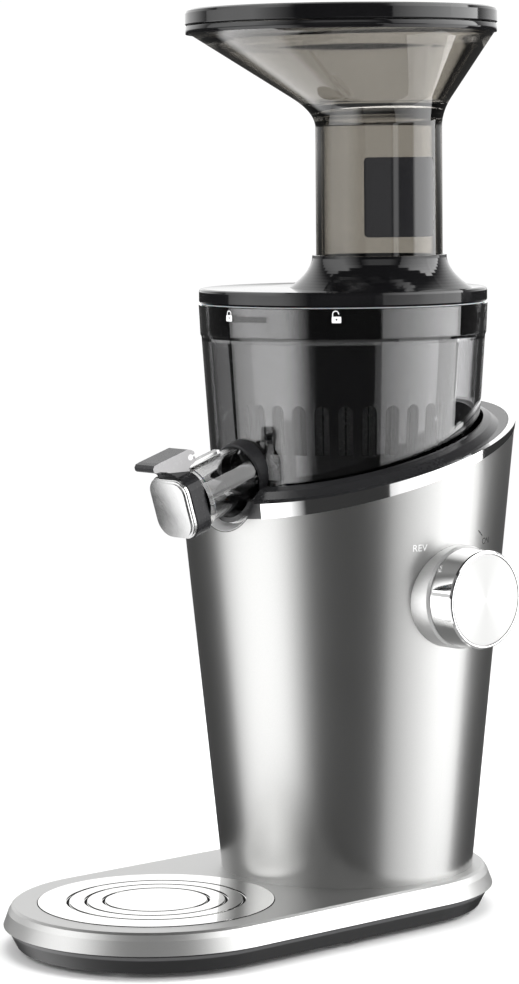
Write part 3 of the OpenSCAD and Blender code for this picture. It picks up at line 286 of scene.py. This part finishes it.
overhead = bpy.data.lights.new("overhead", "AREA")
overhead.shape = "DISK"
overhead.size = 1.6
overhead.energy = 22
overhead_lamp = bpy.data.objects.new("overhead", overhead)
overhead_lamp.location = (0, 0, 2.2)
overhead_lamp.visible_glossy = False
scene.collection.objects.link(overhead_lamp)


def start_look(name, **constants):
    """A new material: its Principled shader with the constant inputs set, and the place on the piece in metres."""
    look = bpy.data.materials.new(name)
    look.use_nodes = True
    shader = look.node_tree.nodes["Principled BSDF"]
    for socket, value in constants.items():
        shader.inputs[socket.replace("_", " ")].default_value = value
    return look, shader, add_node(look.node_tree, "ShaderNodeTexCoord", output="Object")


def feed(shader, **wires):
    """Links wires to the shader's inputs."""
    for socket, wire in wires.items():
        shader.id_data.links.new(wire.socket, shader.inputs[socket.replace("_", " ")])


def lay_over(look, shader, share, cover):
    """Shows another shader over the look's own by this share."""
    both = share.node("ShaderNodeMixShader", None, {0: share, 1: Wire(shader.outputs[0]), 2: cover})
    look.node_tree.links.new(both.socket, look.node_tree.nodes["Material Output"].inputs["Surface"])


def dress(look, *pieces):
    """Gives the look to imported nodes, named, and to new pieces."""
    for piece in pieces:
        mesh = nodes[piece].data if isinstance(piece, str) else piece.data
        mesh.materials.clear()
        mesh.materials.append(look)


def make_finish(name, dark, light, rough, grain, stretch=(1, 1, 1), relief=0.0, **constants):
    """A finish whose colour and roughness wander with soft noise of the grain's size, and whose surface
    is lifted by the relief. Stretch draws the grain out along an axis where it is below 1."""
    look, shader, place = start_look(name, **constants)
    patch = place.cloud(1 / grain, 3, stretch)
    feed(shader, Base_Color=patch.shade(dark, light), Roughness=rough[0] + patch * (rough[1] - rough[0]))
    if relief:
        feed(shader, Normal=patch.bump(relief))
    return look


floor_r, floor_corners = 1.3, 64
ring_turn = np.linspace(0, 2 * math.pi, floor_corners + 1)[:-1]
rim_ring = np.stack([floor_r * np.cos(ring_turn), floor_r * np.sin(ring_turn), np.zeros(floor_corners)], -1)
floor = build_mesh("floor", rim_ring, [list(range(floor_corners))])
look, shader, place = start_look("floor_paper", Base_Color=(0.93, 0.93, 0.93, 1), Roughness=0.9)
fade_from, fade_to = 0.4, 1.2
lay_over(look, shader, place.length().ramp(fade_from, fade_to), place.node("ShaderNodeBsdfTransparent"))
dress(look, floor)
floor.visible_glossy = False
floor.visible_shadow = False

# --- Base tray ---
# The black tray that closes the machine from below, injection moulded with a fine eroded grain.
# Six rubber feet are pressed into its pockets and steel screws hold it to the plate above. A narrow band
# close under the plate is paler: a painted highlight.
tray_plastic, shader, place = start_look("tray_plastic", IOR=1.5)
below_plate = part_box("base_plate")[0].z - place.part("Z")
# Painted highlight: a paler band from about 1 to 3 mm below the plate.
painted_highlight_band = below_plate.ramp(0.0009, 0.0014) * (1 - below_plate.ramp(0.0024, 0.0032))
grain = place.cloud(1600, 2)
feed(shader, Base_Color=painted_highlight_band.shade((0.006, 0.006, 0.0065, 1), (0.07, 0.07, 0.072, 1)),
     Roughness=0.3 + 0.12 * grain, Normal=grain.bump(6e-6))
dress(tray_plastic, "base_tray")
rubber = make_finish("foot_rubber", (0.013, 0.013, 0.013, 1), (0.03, 0.03, 0.03, 1), rough=(0.55, 0.75), grain=0.0009,
                     relief=1e-5)
dress(rubber, "base_feet")
steel = make_finish("turned_steel", (0.42, 0.42, 0.43, 1), (0.6, 0.6, 0.6, 1), rough=(0.2, 0.36), grain=0.0008,
                    stretch=(1, 1, 0.2), relief=3e-6, Metallic=1)
dress(steel, "base_screws")

# --- Base plate ---
# One plate of cast aluminium, bead blasted and clear coated, with a skirt that leans outwards.
# It carries the body at the back and has a recess for the cup in front.
plate_metal = make_finish("blasted_plate", (0.45, 0.45, 0.445, 1), (0.52, 0.52, 0.515, 1), rough=(0.38, 0.42),
                          grain=0.0004, Metallic=1)
dress(plate_metal, "base_plate")

# --- Cup rest ---
# A separate disc of polished steel, glued into the plate's recess, with fine turned rings all over.
# Three grooves lie a step apart from the outer one inwards, darkened by painted shade, and a painted shadow line runs
# round its edge.
mirror_steel, shader, place = start_look("polished_disc", Metallic=1)
rest_low, rest_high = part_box("cup_rest")
rest_middle = (rest_low + rest_high) / 2
from_middle = place.centred(rest_middle)
turned = from_middle.rings("Z", 450, 0.4)
smear = place.cloud(60, 3)
groove_margin, groove_step, groove_w, edge_line_w = 0.0152, 0.0089, 0.0018, 0.0004
groove_r = (rest_high.x - rest_middle.x) - groove_margin
from_axis = from_middle.scaled((1, 1, 0)).length()
off_groove = from_axis.math("PINGPONG", groove_r - from_axis, groove_step / 2)
# Painted shade: a mask over the grooves and a thin line at the disc's edge.
painted_groove_shade = (1 - off_groove.ramp(groove_w * 0.3, groove_w * 0.5)) * (from_axis > groove_r - 2.5 * groove_step)
painted_groove_shade = painted_groove_shade * (1 - (from_axis > groove_r + groove_w)) + (from_axis > rest_high.x - edge_line_w)
feed(shader, Base_Color=smear.shade((0.8, 0.8, 0.79, 1), (0.87, 0.87, 0.86, 1)),
     Roughness=0.05 + 0.05 * smear, Normal=turned.bump(4e-7))
# Painted shade: a matt black laid over the masked grooves and edge line.
painted_shade_black = place.node("ShaderNodeBsdfDiffuse", None, {"Color": (0.015, 0.015, 0.015, 1)})
lay_over(mirror_steel, shader, painted_groove_shade, painted_shade_black)
dress(mirror_steel, "cup_rest")

# --- Body shell ---
# A tapered tube of aluminium under silver metallic paint, its top cut off at a slant.
# In front it has a scoop for the spout, made pale by painted light and outlined by a painted shadow line.
silver_paint, shader, place = start_look("silver_paint", Coat_Weight=0.25, Coat_Roughness=0.12)
flake = place.cloud(3500, 1)
haze = place.cloud(22, 2)

# The scoop is a level cylinder that widens to a cone in front of scoop_y.
scoop_y, scoop_z, scoop_r, scoop_slope, scoop_back_y = -0.0773, 0.2277, 0.0205, 4 / 7, -0.05
off_scoop = place.node("ShaderNodeVectorMath", {"operation": "MULTIPLY_ADD"},
                       {0: place, 1: (1, 0, 1), 2: (0, 0, -scoop_z)}).length()
place_y = place.part("Y")
past_cone = off_scoop - scoop_r - scoop_slope * place_y.math("MAXIMUM", scoop_y - place_y, 0)
front = 1 - (place_y > scoop_back_y)
past_edge = past_cone.ramp(0.0001, 0.0002)
# Painted light: the scoop is paler and less metallic; a painted shadow line runs round it.
painted_light_in_scoop = (1 - past_edge) * front
painted_shadow_lip = past_edge * (1 - past_cone.ramp(0.0006, 0.0008)) * front
paint = painted_light_in_scoop.shade(flake.shade((0.37, 0.37, 0.366, 1), (0.45, 0.45, 0.445, 1)), (0.9, 0.9, 0.9, 1))
feed(shader, Base_Color=painted_shadow_lip.shade(paint, (0.06, 0.06, 0.06, 1)), Metallic=1 - 0.6 * painted_light_in_scoop,
     Roughness=0.29 + 0.03 * haze + 0.02 * flake)
dress(silver_paint, "body_shell")

# --- Rim trim ---
# A narrow band of chromed plastic that closes the slanted cut and breaks off at the scoop.
# It is pressed over the edge of the shell.
chrome, shader, place = start_look("bright_chrome", Metallic=1)
smear = place.cloud(45, 3)
feed(shader, Base_Color=smear.shade((0.78, 0.78, 0.78, 1), (0.86, 0.86, 0.86, 1)), Roughness=0.04 + 0.05 * smear)
dress(chrome, "rim_trim")

# --- Deck ---
# A black moulding inside the rim, with the well that the bowl stands in.
# Its fine grain is polished nearly smooth.
deck_black = make_finish("deck_black", (0.012, 0.012, 0.013, 1), (0.022, 0.022, 0.023, 1), rough=(0.16, 0.24),
                         grain=0.0015, relief=3e-6, IOR=1.5)
dress(deck_black, "deck")

# --- Cord gland ---
# A moulded black bush at the back, where the cord comes in.
# It sits in a hole of the shell.
black_plastic = make_finish("black_plastic", (0.011, 0.011, 0.012, 1), (0.021, 0.021, 0.022, 1), rough=(0.28, 0.42),
                            grain=0.0006, relief=6e-6, IOR=1.5)
dress(black_plastic, "cord_gland")

# --- Motor and gears ---
# An induction motor with a stack of steel sheets, two copper windings and a fan, and above it two
# steps of gears in a cast case, all on turned steel posts, with the switch and its board beside them.
sheet_steel, shader, place = start_look("motor_sheets", Metallic=0.9)
sheets = place.node("ShaderNodeTexWave", {"bands_direction": "Z"}, {"Vector": place, "Scale": 320}, "Fac")
tarnish = place.cloud(90, 4)
feed(shader, Base_Color=tarnish.shade((0.16, 0.155, 0.15, 1), (0.3, 0.29, 0.28, 1)), Roughness=0.35 + 0.2 * tarnish,
     Normal=sheets.bump(2e-5))
dress(sheet_steel, "stator", "rotor_core")
copper, shader, place = start_look("enamelled_wire", Metallic=0.8, Coat_Weight=0.5, Coat_Roughness=0.1)
turns = place.rings("Z", 300, 1.5)
feed(shader, Base_Color=turns.shade((0.3, 0.1, 0.035, 1), (0.62, 0.26, 0.1, 1)), Roughness=0.25 + 0.15 * turns,
     Normal=turns.bump(2e-4))
dress(copper, "windings")
cast_metal = make_finish("die_cast", (0.3, 0.305, 0.31, 1), (0.42, 0.425, 0.43, 1), rough=(0.38, 0.55), grain=0.0012,
                         relief=2e-5, Metallic=0.9)
dress(cast_metal, "gearbox_case", "gearbox_lid", "lower_bracket", "upper_bracket")
brass = make_finish("gear_brass", (0.55, 0.38, 0.16, 1), (0.68, 0.5, 0.24, 1), rough=(0.2, 0.34), grain=0.0008,
                    stretch=(1, 1, 0.2), relief=3e-6, Metallic=1)
dress(brass, "motor_pinion", "idler_pinion")
gear_nylon = make_finish("gear_nylon", (0.66, 0.62, 0.5, 1), (0.78, 0.74, 0.63, 1), rough=(0.35, 0.48), grain=0.003,
                         relief=8e-6, Subsurface_Weight=0.15, Subsurface_Scale=0.002)
dress(gear_nylon, "idler_gear", "output_gear")
switch_plastic = make_finish("switch_plastic", (0.02, 0.021, 0.023, 1), (0.045, 0.046, 0.05, 1), rough=(0.35, 0.5),
                             grain=0.0008, relief=6e-6)
dress(switch_plastic, "rotary_switch", "cooling_fan")
board_green, shader, place = start_look("circuit_board", Coat_Weight=0.6, Coat_Roughness=0.15)
tracks = place.node("ShaderNodeTexBrick", {"offset": 0.5},
                    {"Vector": place, "Scale": 160, "Mortar Size": 0.04, "Color1": (1, 1, 1, 1),
                     "Color2": (0.6, 0.6, 0.6, 1), "Mortar": (0, 0, 0, 1)}, "Fac")
feed(shader, Base_Color=tracks.shade((0.01, 0.09, 0.035, 1), (0.03, 0.2, 0.08, 1)), Roughness=0.3 + 0.15 * tracks,
     Normal=tracks.bump(3e-5))
dress(board_green, "control_board")
dress(steel, "frame_posts", "gear_plate", "motor_shaft", "motor_bearings", "drive_bearings", "drive_shaft",
      "idler_axle")

# --- Knob ---
# A solid turned knob on a satin boss: a polished ring with a thin groove, and an inset face of spun aluminium
# with fine circles and a painted sheen in fans. It turns 45 degrees each way from off to run and to reverse.
boss_metal = make_finish("satin_boss", (0.72, 0.72, 0.715, 1), (0.8, 0.8, 0.795, 1), rough=(0.34, 0.4), grain=0.0006,
                         stretch=(0.2, 1, 1), Metallic=0.85)
dress(boss_metal, "knob_boss")
dress(chrome, "knob_ring")
dress(steel, "knob_shaft")
face_low, face_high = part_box("knob_face")
face_middle = (face_low + face_high) / 2
spun_face, shader, place = start_look("spun_aluminium", Metallic=1)
on_face = place.centred(face_middle)
twice_round = on_face.math("ARCTAN2", on_face.part("Z"), on_face.part("Y")) * 2
# Painted sheen: the face's colour is paler in two opposite fans.
fan = twice_round.math("COSINE", twice_round)
circles = on_face.rings("X", 900, 0.3)
feed(shader, Base_Color=(0.5 + 0.5 * fan).shade((0.355, 0.355, 0.352, 1), (0.42, 0.42, 0.416, 1)),
     Roughness=0.3 - 0.08 * fan, Normal=circles.bump(5e-7))
dress(spun_face, "knob_face")


# --- Marks at the knob ---
# REV stands on the left in pale ink, ON and its tick on the right in metallic ink.
# All of them are printed on the shell.
def on_body(flat, middle_turn, middle_z, lift):
    """Wraps flat points (across, up) onto the body's cone: the angle is the middle's plus across over radius."""
    foot_z, foot_radius, slope = 0.0227, 0.0655, math.tan(math.radians(5.6))
    z = middle_z + flat[:, 1]
    radius = foot_radius + (z - foot_z) * slope + lift
    turn = middle_turn + flat[:, 0] / radius
    return np.stack([radius * np.cos(turn), radius * np.sin(turn), z], -1)


bright_ink = make_finish("bright_ink", (0.8, 0.8, 0.8, 1), (0.9, 0.9, 0.9, 1), rough=(0.12, 0.16), grain=0.01,
                         Metallic=1)
pale_ink = make_finish("pale_ink", (0.75, 0.75, 0.75, 1), (0.85, 0.85, 0.85, 1), rough=(0.3, 0.4), grain=0.002)
ink_height = 0.00004


def finish_print(piece, look, body):
    """Gives a print crisp borders, its thickness, its ink and its body."""
    mesh = piece.data
    edge_of_corner = np.zeros(len(mesh.loops), int)
    mesh.loops.foreach_get("edge_index", edge_of_corner)
    border = np.bincount(edge_of_corner, minlength=len(mesh.edges)) == 1
    mesh.edges.foreach_set("use_edge_sharp", border)
    thick = piece.modifiers.new("ink", "SOLIDIFY")
    thick.thickness = ink_height
    thick.offset = 1
    dress(look, piece)
    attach(piece, body)


def print_word(name, word, height, middle_turn, middle_z, ink):
    """A word's outline as a thin mesh on the body."""
    letters = bpy.data.curves.new(name, "FONT")
    letters.body = word
    letters.size = height
    letters.align_x = "CENTER"
    letters.align_y = "CENTER"
    source = bpy.data.objects.new(name + "_flat", letters)
    flat_mesh = bpy.data.meshes.new_from_object(source)
    flat = np.zeros(3 * len(flat_mesh.vertices), np.float32)
    flat_mesh.vertices.foreach_get("co", flat)
    flat = flat.astype(float).reshape(-1, 3)
    faces = [list(face.vertices) for face in flat_mesh.polygons]
    bpy.data.objects.remove(source)
    word_piece = build_mesh(name, on_body(flat, middle_turn, middle_z, ink_height / 2), faces)
    finish_print(word_piece, ink, "stand")


rev_turn, on_turn, tick_turn = -math.asin(22.9 / 82.5), math.asin(23.5 / 82.5), math.asin(18 / 82.9)
rev_z, on_z, tick_z = 0.1962, 0.1961, 0.2006
rev_height, on_height = 0.0049, 0.0046
print_word("mark_rev", "REV", rev_height, rev_turn, rev_z, pale_ink)
print_word("mark_on", "ON", on_height, on_turn, on_z, bright_ink)
tick_corners = np.array([[-0.0021, 0.0013], [-0.0017, 0.0018], [0.0021, -0.0013], [0.0017, -0.0018]])
tick = build_mesh("mark_tick", on_body(tick_corners, tick_turn, tick_z, ink_height / 2), [[0, 3, 2, 1]])
finish_print(tick, bright_ink, "stand")

# --- Bowl ---
# A clear bowl injection moulded in lightly smoked copolyester, with the spout moulded on.
# Black silicone seals the spout's root and the hub round the drive shaft.
clear_bowl, shader, place = start_look("smoked_copolyester", Transmission_Weight=1, IOR=1.5, Coat_Weight=0.4,
                                       Coat_IOR=1.5)
swirl = place.cloud(30, 2)
spout_y, spout_root_y = -0.097, -0.085
on_spout = 1 - place.part("Y").ramp(spout_y, spout_root_y)
smoke = swirl.shade((0.73, 0.73, 0.735, 1), (0.79, 0.79, 0.795, 1))
feed(shader, Base_Color=on_spout.shade(smoke, (0.95, 0.95, 0.945, 1)), Roughness=0.015 + 0.02 * swirl)
dress(clear_bowl, "juice_bowl")
black_silicone = make_finish("black_silicone", (0.012, 0.012, 0.013, 1), (0.028, 0.028, 0.03, 1), rough=(0.35, 0.5),
                             grain=0.001, relief=6e-6, IOR=1.3)
dress(black_silicone, "spout_gasket", "shaft_seal")

# --- Padlock signs ---
# A closed padlock shows where the lid is locked, an open one where it comes off.
# Both are printed on the bowl's wall in white ink.
white_ink = make_finish("white_ink", (0.8, 0.8, 0.8, 1), (0.9, 0.9, 0.9, 1), rough=(0.4, 0.55), grain=0.002)
bowl_radius, sign_z = 0.0743, 0.3112


def rounded_box(width, height, corner, count=48):
    """Points round a box with round corners: a corner's middle, and from it the corner's radius out."""
    turn = (np.arange(count) + 0.5) * 2 * math.pi / count
    spot = np.stack([np.cos(turn), np.sin(turn)], -1)
    return np.sign(spot) * (np.array([width, height]) / 2 - corner) + corner * spot


def padlock(name, middle_turn, opened):
    """A padlock sign: a rounded case round a keyhole, and a bow that is a band round half a circle with legs."""
    count = 48
    case_w, case_h, case_corner, case_y, case_top = 0.0047, 0.0032, 0.0005, -0.0013, 0.0003
    keyhole_r, keyhole_y = 0.00045, -0.0012
    bow_out, bow_in, bow_points = 0.0017, 0.0012, 25
    leg, bow_x, bow_start = (0.0006 + 0.0007, -0.0004, -10) if opened else (0.0006, 0, 0)
    case = rounded_box(case_w, case_h, case_corner, count) + (0, case_y)
    turn = (np.arange(count) + 0.5) * 2 * math.pi / count
    keyhole = keyhole_r * np.stack([np.cos(turn), np.sin(turn)], -1) + (0, keyhole_y)
    k = np.arange(count)
    case_faces = np.stack([k, (k + 1) % count, count + (k + 1) % count, count + k], -1)
    swing = np.linspace(math.radians(bow_start), math.pi, bow_points)
    bow_middle = np.array([bow_x, case_top + leg])
    unit = np.stack([np.cos(swing), np.sin(swing)], -1)
    outer, inner = bow_middle + bow_out * unit, bow_middle + bow_in * unit
    outer, inner = (np.vstack([arc, arc[-1] - (0, leg)]) for arc in (outer, inner))
    if not opened:
        outer, inner = (np.vstack([arc[0] - (0, leg), arc]) for arc in (outer, inner))
    j = np.arange(len(outer) - 1)
    first = 2 * count
    bow_faces = np.stack([first + j, first + j + 1, first + len(outer) + j + 1, first + len(outer) + j], -1)
    flat = np.vstack([case, keyhole, outer, inner])
    around_bowl = middle_turn + flat[:, 0] / bowl_radius
    radius = bowl_radius + ink_height / 2
    corners = np.stack([radius * np.cos(around_bowl), radius * np.sin(around_bowl), sign_z + flat[:, 1]], -1)
    sign = build_mesh(name, corners, case_faces[:, ::-1].tolist() + bow_faces[:, ::-1].tolist())
    finish_print(sign, white_ink, "bowl")


padlock("sign_locked", math.radians(-93.2), False)
padlock("sign_open", math.radians(-45.5), True)

# --- Strainer ---
# A black moulded drum with tall windows stands in the bowl.
# A cylinder of thin steel with etched holes lines it.
drum_plastic = make_finish("strainer_plastic", (0.008, 0.008, 0.009, 1), (0.014, 0.014, 0.015, 1), rough=(0.05, 0.08),
                           grain=0.001, IOR=1.8)
dress(drum_plastic, "strainer_drum")
screen_steel, shader, place = start_look("etched_screen", Metallic=1)
holes = place.node("ShaderNodeTexVoronoi", None, {"Vector": place, "Scale": 1400}, "Distance")
feed(shader, Base_Color=holes.shade((0.02, 0.02, 0.02, 1), (0.12, 0.12, 0.12, 1)), Roughness=0.45 + 0.2 * holes,
     Normal=holes.bump(2e-5))
dress(screen_steel, "strainer_screen")

# --- Pressing screw ---
# One moulding of hard black plastic with two flights that lie down towards its tip.
# It stands on the drive shaft's hexagon and turns inside the strainer.
screw_foot_z, screw_h, screw_radius = 0.2314, 0.0786, 0.049497
screw_core, core_foot, flight_rise = 0.009, 0.0095, 0.0005


def core_radius(t):
    """The core narrows from the foot to the tip by a power law."""
    return screw_core + (screw_radius - core_foot - screw_core) * (1 - t) ** 1.6


def flight_radius(t):
    """The flights widen quickly at the foot, keep their radius to half the height, then lie down to the core."""
    late = screw_radius - (screw_radius - screw_core - flight_rise) * np.clip((t - 0.5) / 0.5, 0, 1) ** 2
    widening, narrower = 0.06, 0.0065
    return np.where(t < widening, screw_radius - narrower * (1 - t / widening),
                    np.maximum(core_radius(t) + flight_rise, late))


def hexagon(radius, turn):
    """Distance from the axis to a hexagon's outline."""
    return radius * math.cos(math.pi / 6) / np.cos(turn % (math.pi / 3) - math.pi / 6)


# Each ring is the core with two opposite ridges, bell-shaped in the angle. The rings turn faster towards the tip.
around, levels = 144, 120
ridge_degrees, screw_turns, quickening = 14, 1.4, 0.35
turn = np.arange(around) * 2 * math.pi / around
t = np.linspace(0, 1, levels)[:, None]
from_ridge = (turn[None, :] + math.pi / 2) % math.pi - math.pi / 2
ridge = np.exp(-(np.degrees(from_ridge) / ridge_degrees) ** 2)
radius = core_radius(t) + (flight_radius(t) - core_radius(t)) * ridge
twist = 2 * math.pi * screw_turns * (t + quickening * t * t) / (1 + quickening) + turn[None, :]
flights = np.stack([radius * np.cos(twist), radius * np.sin(twist), screw_foot_z + t * screw_h + 0 * twist], -1)


def flat_ring(outline, z):
    """One ring of the screw at height z from its outline, a radius for each angle."""
    outline = np.broadcast_to(outline, turn.shape)
    return np.stack([outline * np.cos(turn), outline * np.sin(turn), np.full(around, z)], -1)[None]


# The skin starts at the top of the hexagonal socket, comes down through the foot and ends at the tip's pin.
socket_r, socket_top_z, foot_bore_r, foot_bore_z = 0.0083, 0.259, 0.0136, 0.2366
pin_r, pin_foot_z, pin_top_z, pin_bevel = 0.003, 0.3101, 0.3155, 0.0003
socket = hexagon(socket_r, turn)
screw = skin("pressing_screw", np.concatenate([
    flat_ring(socket, socket_top_z), flat_ring(socket, foot_bore_z), flat_ring(foot_bore_r, foot_bore_z),
    flat_ring(foot_bore_r, screw_foot_z), flights, flat_ring(pin_r, pin_foot_z),
    flat_ring(pin_r, pin_top_z - pin_bevel), flat_ring(pin_r - pin_bevel, pin_top_z)]), sharp=50)
screw_plastic = make_finish("screw_plastic", (0.014, 0.014, 0.015, 1), (0.026, 0.026, 0.028, 1), rough=(0.2, 0.32),
                            grain=0.0012, relief=4e-6, IOR=1.55)
dress(screw_plastic, screw)
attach(screw, "screw")
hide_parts("auger")

# --- Spout cap ---
# A black clip turns on a steel pin over the spout. It carries a chromed cushion-shaped face, a pale
# silicone disc that seals the spout, and a thumb lever that leans back over the hinge.
cap_black, shader, place = start_look("cap_plastic", IOR=1.33)
grain = place.cloud(500, 2)

# A painted highlight makes the lever's two flat cheeks paler than the rest.
cheek_in_x, cheek_out_x, cheek_foot_z = 0.00722, 0.0076, 0.2362
across_cap = place.part("X")
across_cap = across_cap.math("ABSOLUTE", across_cap)
painted_highlight_cheek = (across_cap > cheek_in_x) * (1 - (across_cap > cheek_out_x))
painted_highlight_cheek = painted_highlight_cheek * (place.part("Z") > cheek_foot_z)
black = grain.shade((0.01, 0.01, 0.011, 1), (0.02, 0.02, 0.022, 1))
feed(shader, Base_Color=painted_highlight_cheek.shade(black, (0.36, 0.355, 0.36, 1)), Roughness=0.2 + 0.12 * grain)
dress(cap_black, "cap_body")
satin_chrome, shader, place = start_look("satin_chrome", Metallic=1)
plate_low, plate_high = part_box("cap_plate")
off_plate = place.centred((plate_low + plate_high) / 2).length()
cushion_radius = 0.2
cushion = 1 - off_plate * off_plate / (2 * cushion_radius)
smear = place.cloud(250, 3)
feed(shader, Base_Color=smear.shade((0.6, 0.6, 0.6, 1), (0.68, 0.68, 0.68, 1)), Roughness=0.18 + 0.06 * smear,
     Normal=cushion.bump(1))
dress(satin_chrome, "cap_plate")
dress(steel, "cap_pin")
clear_silicone = make_finish("pale_silicone", (0.55, 0.56, 0.57, 1), (0.68, 0.69, 0.7, 1), rough=(0.35, 0.5),
                             grain=0.002, Subsurface_Weight=0.2, Subsurface_Scale=0.002)
dress(clear_silicone, "cap_seal")

# --- Bowl lid ---
# A glossy black moulding with a flared collar for the feed tube and bayonet hooks that hold it to the bowl.
# A pale silicone ring seals it.
gloss_black = make_finish("gloss_black", (0.003, 0.003, 0.0035, 1), (0.007, 0.007, 0.0075, 1), rough=(0.05, 0.1),
                          grain=0.02, IOR=1.48)
dress(gloss_black, "bowl_lid")
dress(clear_silicone, "lid_seal")

# --- Hopper ---
# Moulded in warm smoked copolyester: a feed tube off the drive's axis that opens through a bend into a wide
# funnel centred on it. Inside, the bend is sharper and has a small lip.
feed_offset, tube_r, funnel_rim = 0.0274, 0.0321, 0.0792
tube_foot_z, bend_z, funnel_top_z, rim_top_z = 0.3274, 0.4123, 0.4526, 0.4566
half_bend, inner_half_bend, slope, wall_t, wall_growth = 0.0075, 0.002, 1.13, 0.0026, 0.08
lip_depth, lip_half_h, lip_rise = 0.002, 0.0028, 0.002
ring_corners = 128


def hopper_radius(z, half=half_bend):
    """The tube's radius, then a parabola over the bend, then a cone."""
    d = z - bend_z
    return tube_r + slope * np.where(d < half, np.clip(d + half, 0, None) ** 2 / (4 * half), d)


def hopper_ring(z, radius, inset):
    """Rings whose middles slide from the tube's axis to the drive's axis as they grow."""
    z, radius, inset = (np.asarray(v, float)[:, None] for v in (z, radius, inset))
    turn = (np.arange(ring_corners) * 2 * math.pi / ring_corners)[None, :]
    middle = feed_offset * (funnel_rim - radius) / (funnel_rim - tube_r)
    return np.stack([middle + (radius - inset) * np.cos(turn), (radius - inset) * np.sin(turn), z + 0 * turn], -1)


up_z = np.concatenate([np.linspace(tube_foot_z, bend_z - half_bend, 8)[:-1],
                       np.linspace(bend_z - half_bend, bend_z + half_bend, 31),
                       np.linspace(bend_z + half_bend, funnel_top_z, 10)[1:]])
down_z = up_z[:-1][::-1]

# The wall grows thicker up the funnel, fills the softer outer bend and carries the lip. The rings go up the
# outside, over the flange with its softened edges, and down the inside.
inner_wall = wall_t + wall_growth * np.clip(down_z - bend_z + half_bend, 0, None)
inner_wall += hopper_radius(down_z) - hopper_radius(down_z, inner_half_bend)
inner_wall += lip_depth * np.clip(1 - np.abs(down_z - bend_z - lip_rise) / lip_half_h, 0, 1)
hopper = skin("hopper", np.concatenate([
    hopper_ring(up_z, hopper_radius(up_z), 0 * up_z),
    hopper_ring([funnel_top_z + 0.0003, funnel_top_z + 0.0008], [funnel_rim - 0.0004, funnel_rim], [0, 0]),
    hopper_ring([rim_top_z - 0.0005, rim_top_z, rim_top_z, rim_top_z - 0.0004], [funnel_rim] * 4,
                [0, 0.0005, 0.0024, 0.0028]),
    hopper_ring([funnel_top_z + 0.001], [funnel_rim], [0.004]),
    hopper_ring(down_z, hopper_radius(down_z), inner_wall)]), loop=True, sharp=35)
smoked_hopper, shader, place = start_look("warm_smoked", Transmission_Weight=1, IOR=1.5, Coat_Weight=0.5,
                                          Coat_IOR=1.5)
swirl = place.cloud(25, 2)
feed(shader, Base_Color=swirl.shade((0.49, 0.47, 0.43, 1), (0.55, 0.525, 0.485, 1)), Roughness=0.015 + 0.02 * swirl)
dress(smoked_hopper, hopper)
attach(hopper, "hopper")
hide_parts("feed_hopper")

# --- Funnel band ---
# A thin black band of soft plastic, stretched round the funnel's flange.
# It stands just off the clear wall.
band_z = np.array([funnel_top_z + 0.0001, funnel_top_z + 0.0003, rim_top_z - 0.0003, rim_top_z - 0.0001])
band_gap, band_t = 0.00005, 0.0003
band_out = band_gap + band_t * np.array([0.5, 1, 1, 0.5])
rim_band = skin("rim_band", np.concatenate([
    hopper_ring(band_z, [funnel_rim] * 4, -band_out),
    hopper_ring(band_z[::-1], [funnel_rim] * 4, [-band_gap] * 4)]), loop=True)
dress(gloss_black, rim_band)
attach(rim_band, "hopper")

# --- Tube panel ---
# A blank dark film on the feed tube, turned a little to the front. It is a grid with round corners, wrapped onto
# the tube: its columns shorten towards both ends by the corner's circle, and stand closer there.
panel_r = tube_r + 0.00008
panel_first, panel_last = math.radians(-57), math.radians(14)
panel_low, panel_high, corner = 0.3497, 0.3895, 0.0022
columns, column_points = 49, 13
half_w, half_h = (panel_last - panel_first) * panel_r / 2, (panel_high - panel_low) / 2
across = half_w * np.sin(np.linspace(-1, 1, columns) * math.pi / 2)[:, None]
near_end = np.clip(np.abs(across) - half_w + corner, 0, corner)
up_share = np.linspace(-1, 1, column_points)[None, :]
up = (half_h - corner + np.sqrt(corner ** 2 - near_end ** 2)) * up_share
panel_turn = (panel_first + panel_last) / 2 + across / panel_r + 0 * up
panel_grid = np.stack([feed_offset + panel_r * np.cos(panel_turn), panel_r * np.sin(panel_turn),
                       (panel_low + panel_high) / 2 + up], -1)
first = np.arange(columns - 1)[:, None] * column_points + np.arange(column_points - 1)[None, :]
panel_faces = np.stack([first, first + column_points, first + column_points + 1, first + 1], -1)
panel = build_mesh("blank_panel", panel_grid.reshape(-1, 3), panel_faces.reshape(-1, 4).tolist())
panel_film = make_finish("panel_film", (0.008, 0.008, 0.009, 1), (0.014, 0.014, 0.015, 1), rough=(0.05, 0.09),
                         grain=0.002, IOR=1.5, Coat_Weight=0.6, Coat_IOR=1.6, Coat_Roughness=0.08)
finish_print(panel, panel_film, "hopper")

# --- Top cover ---
# A loose cover of the same glossy black plastic as the lid.
# It lies on the funnel's flange.
dress(gloss_black, "top_cover")
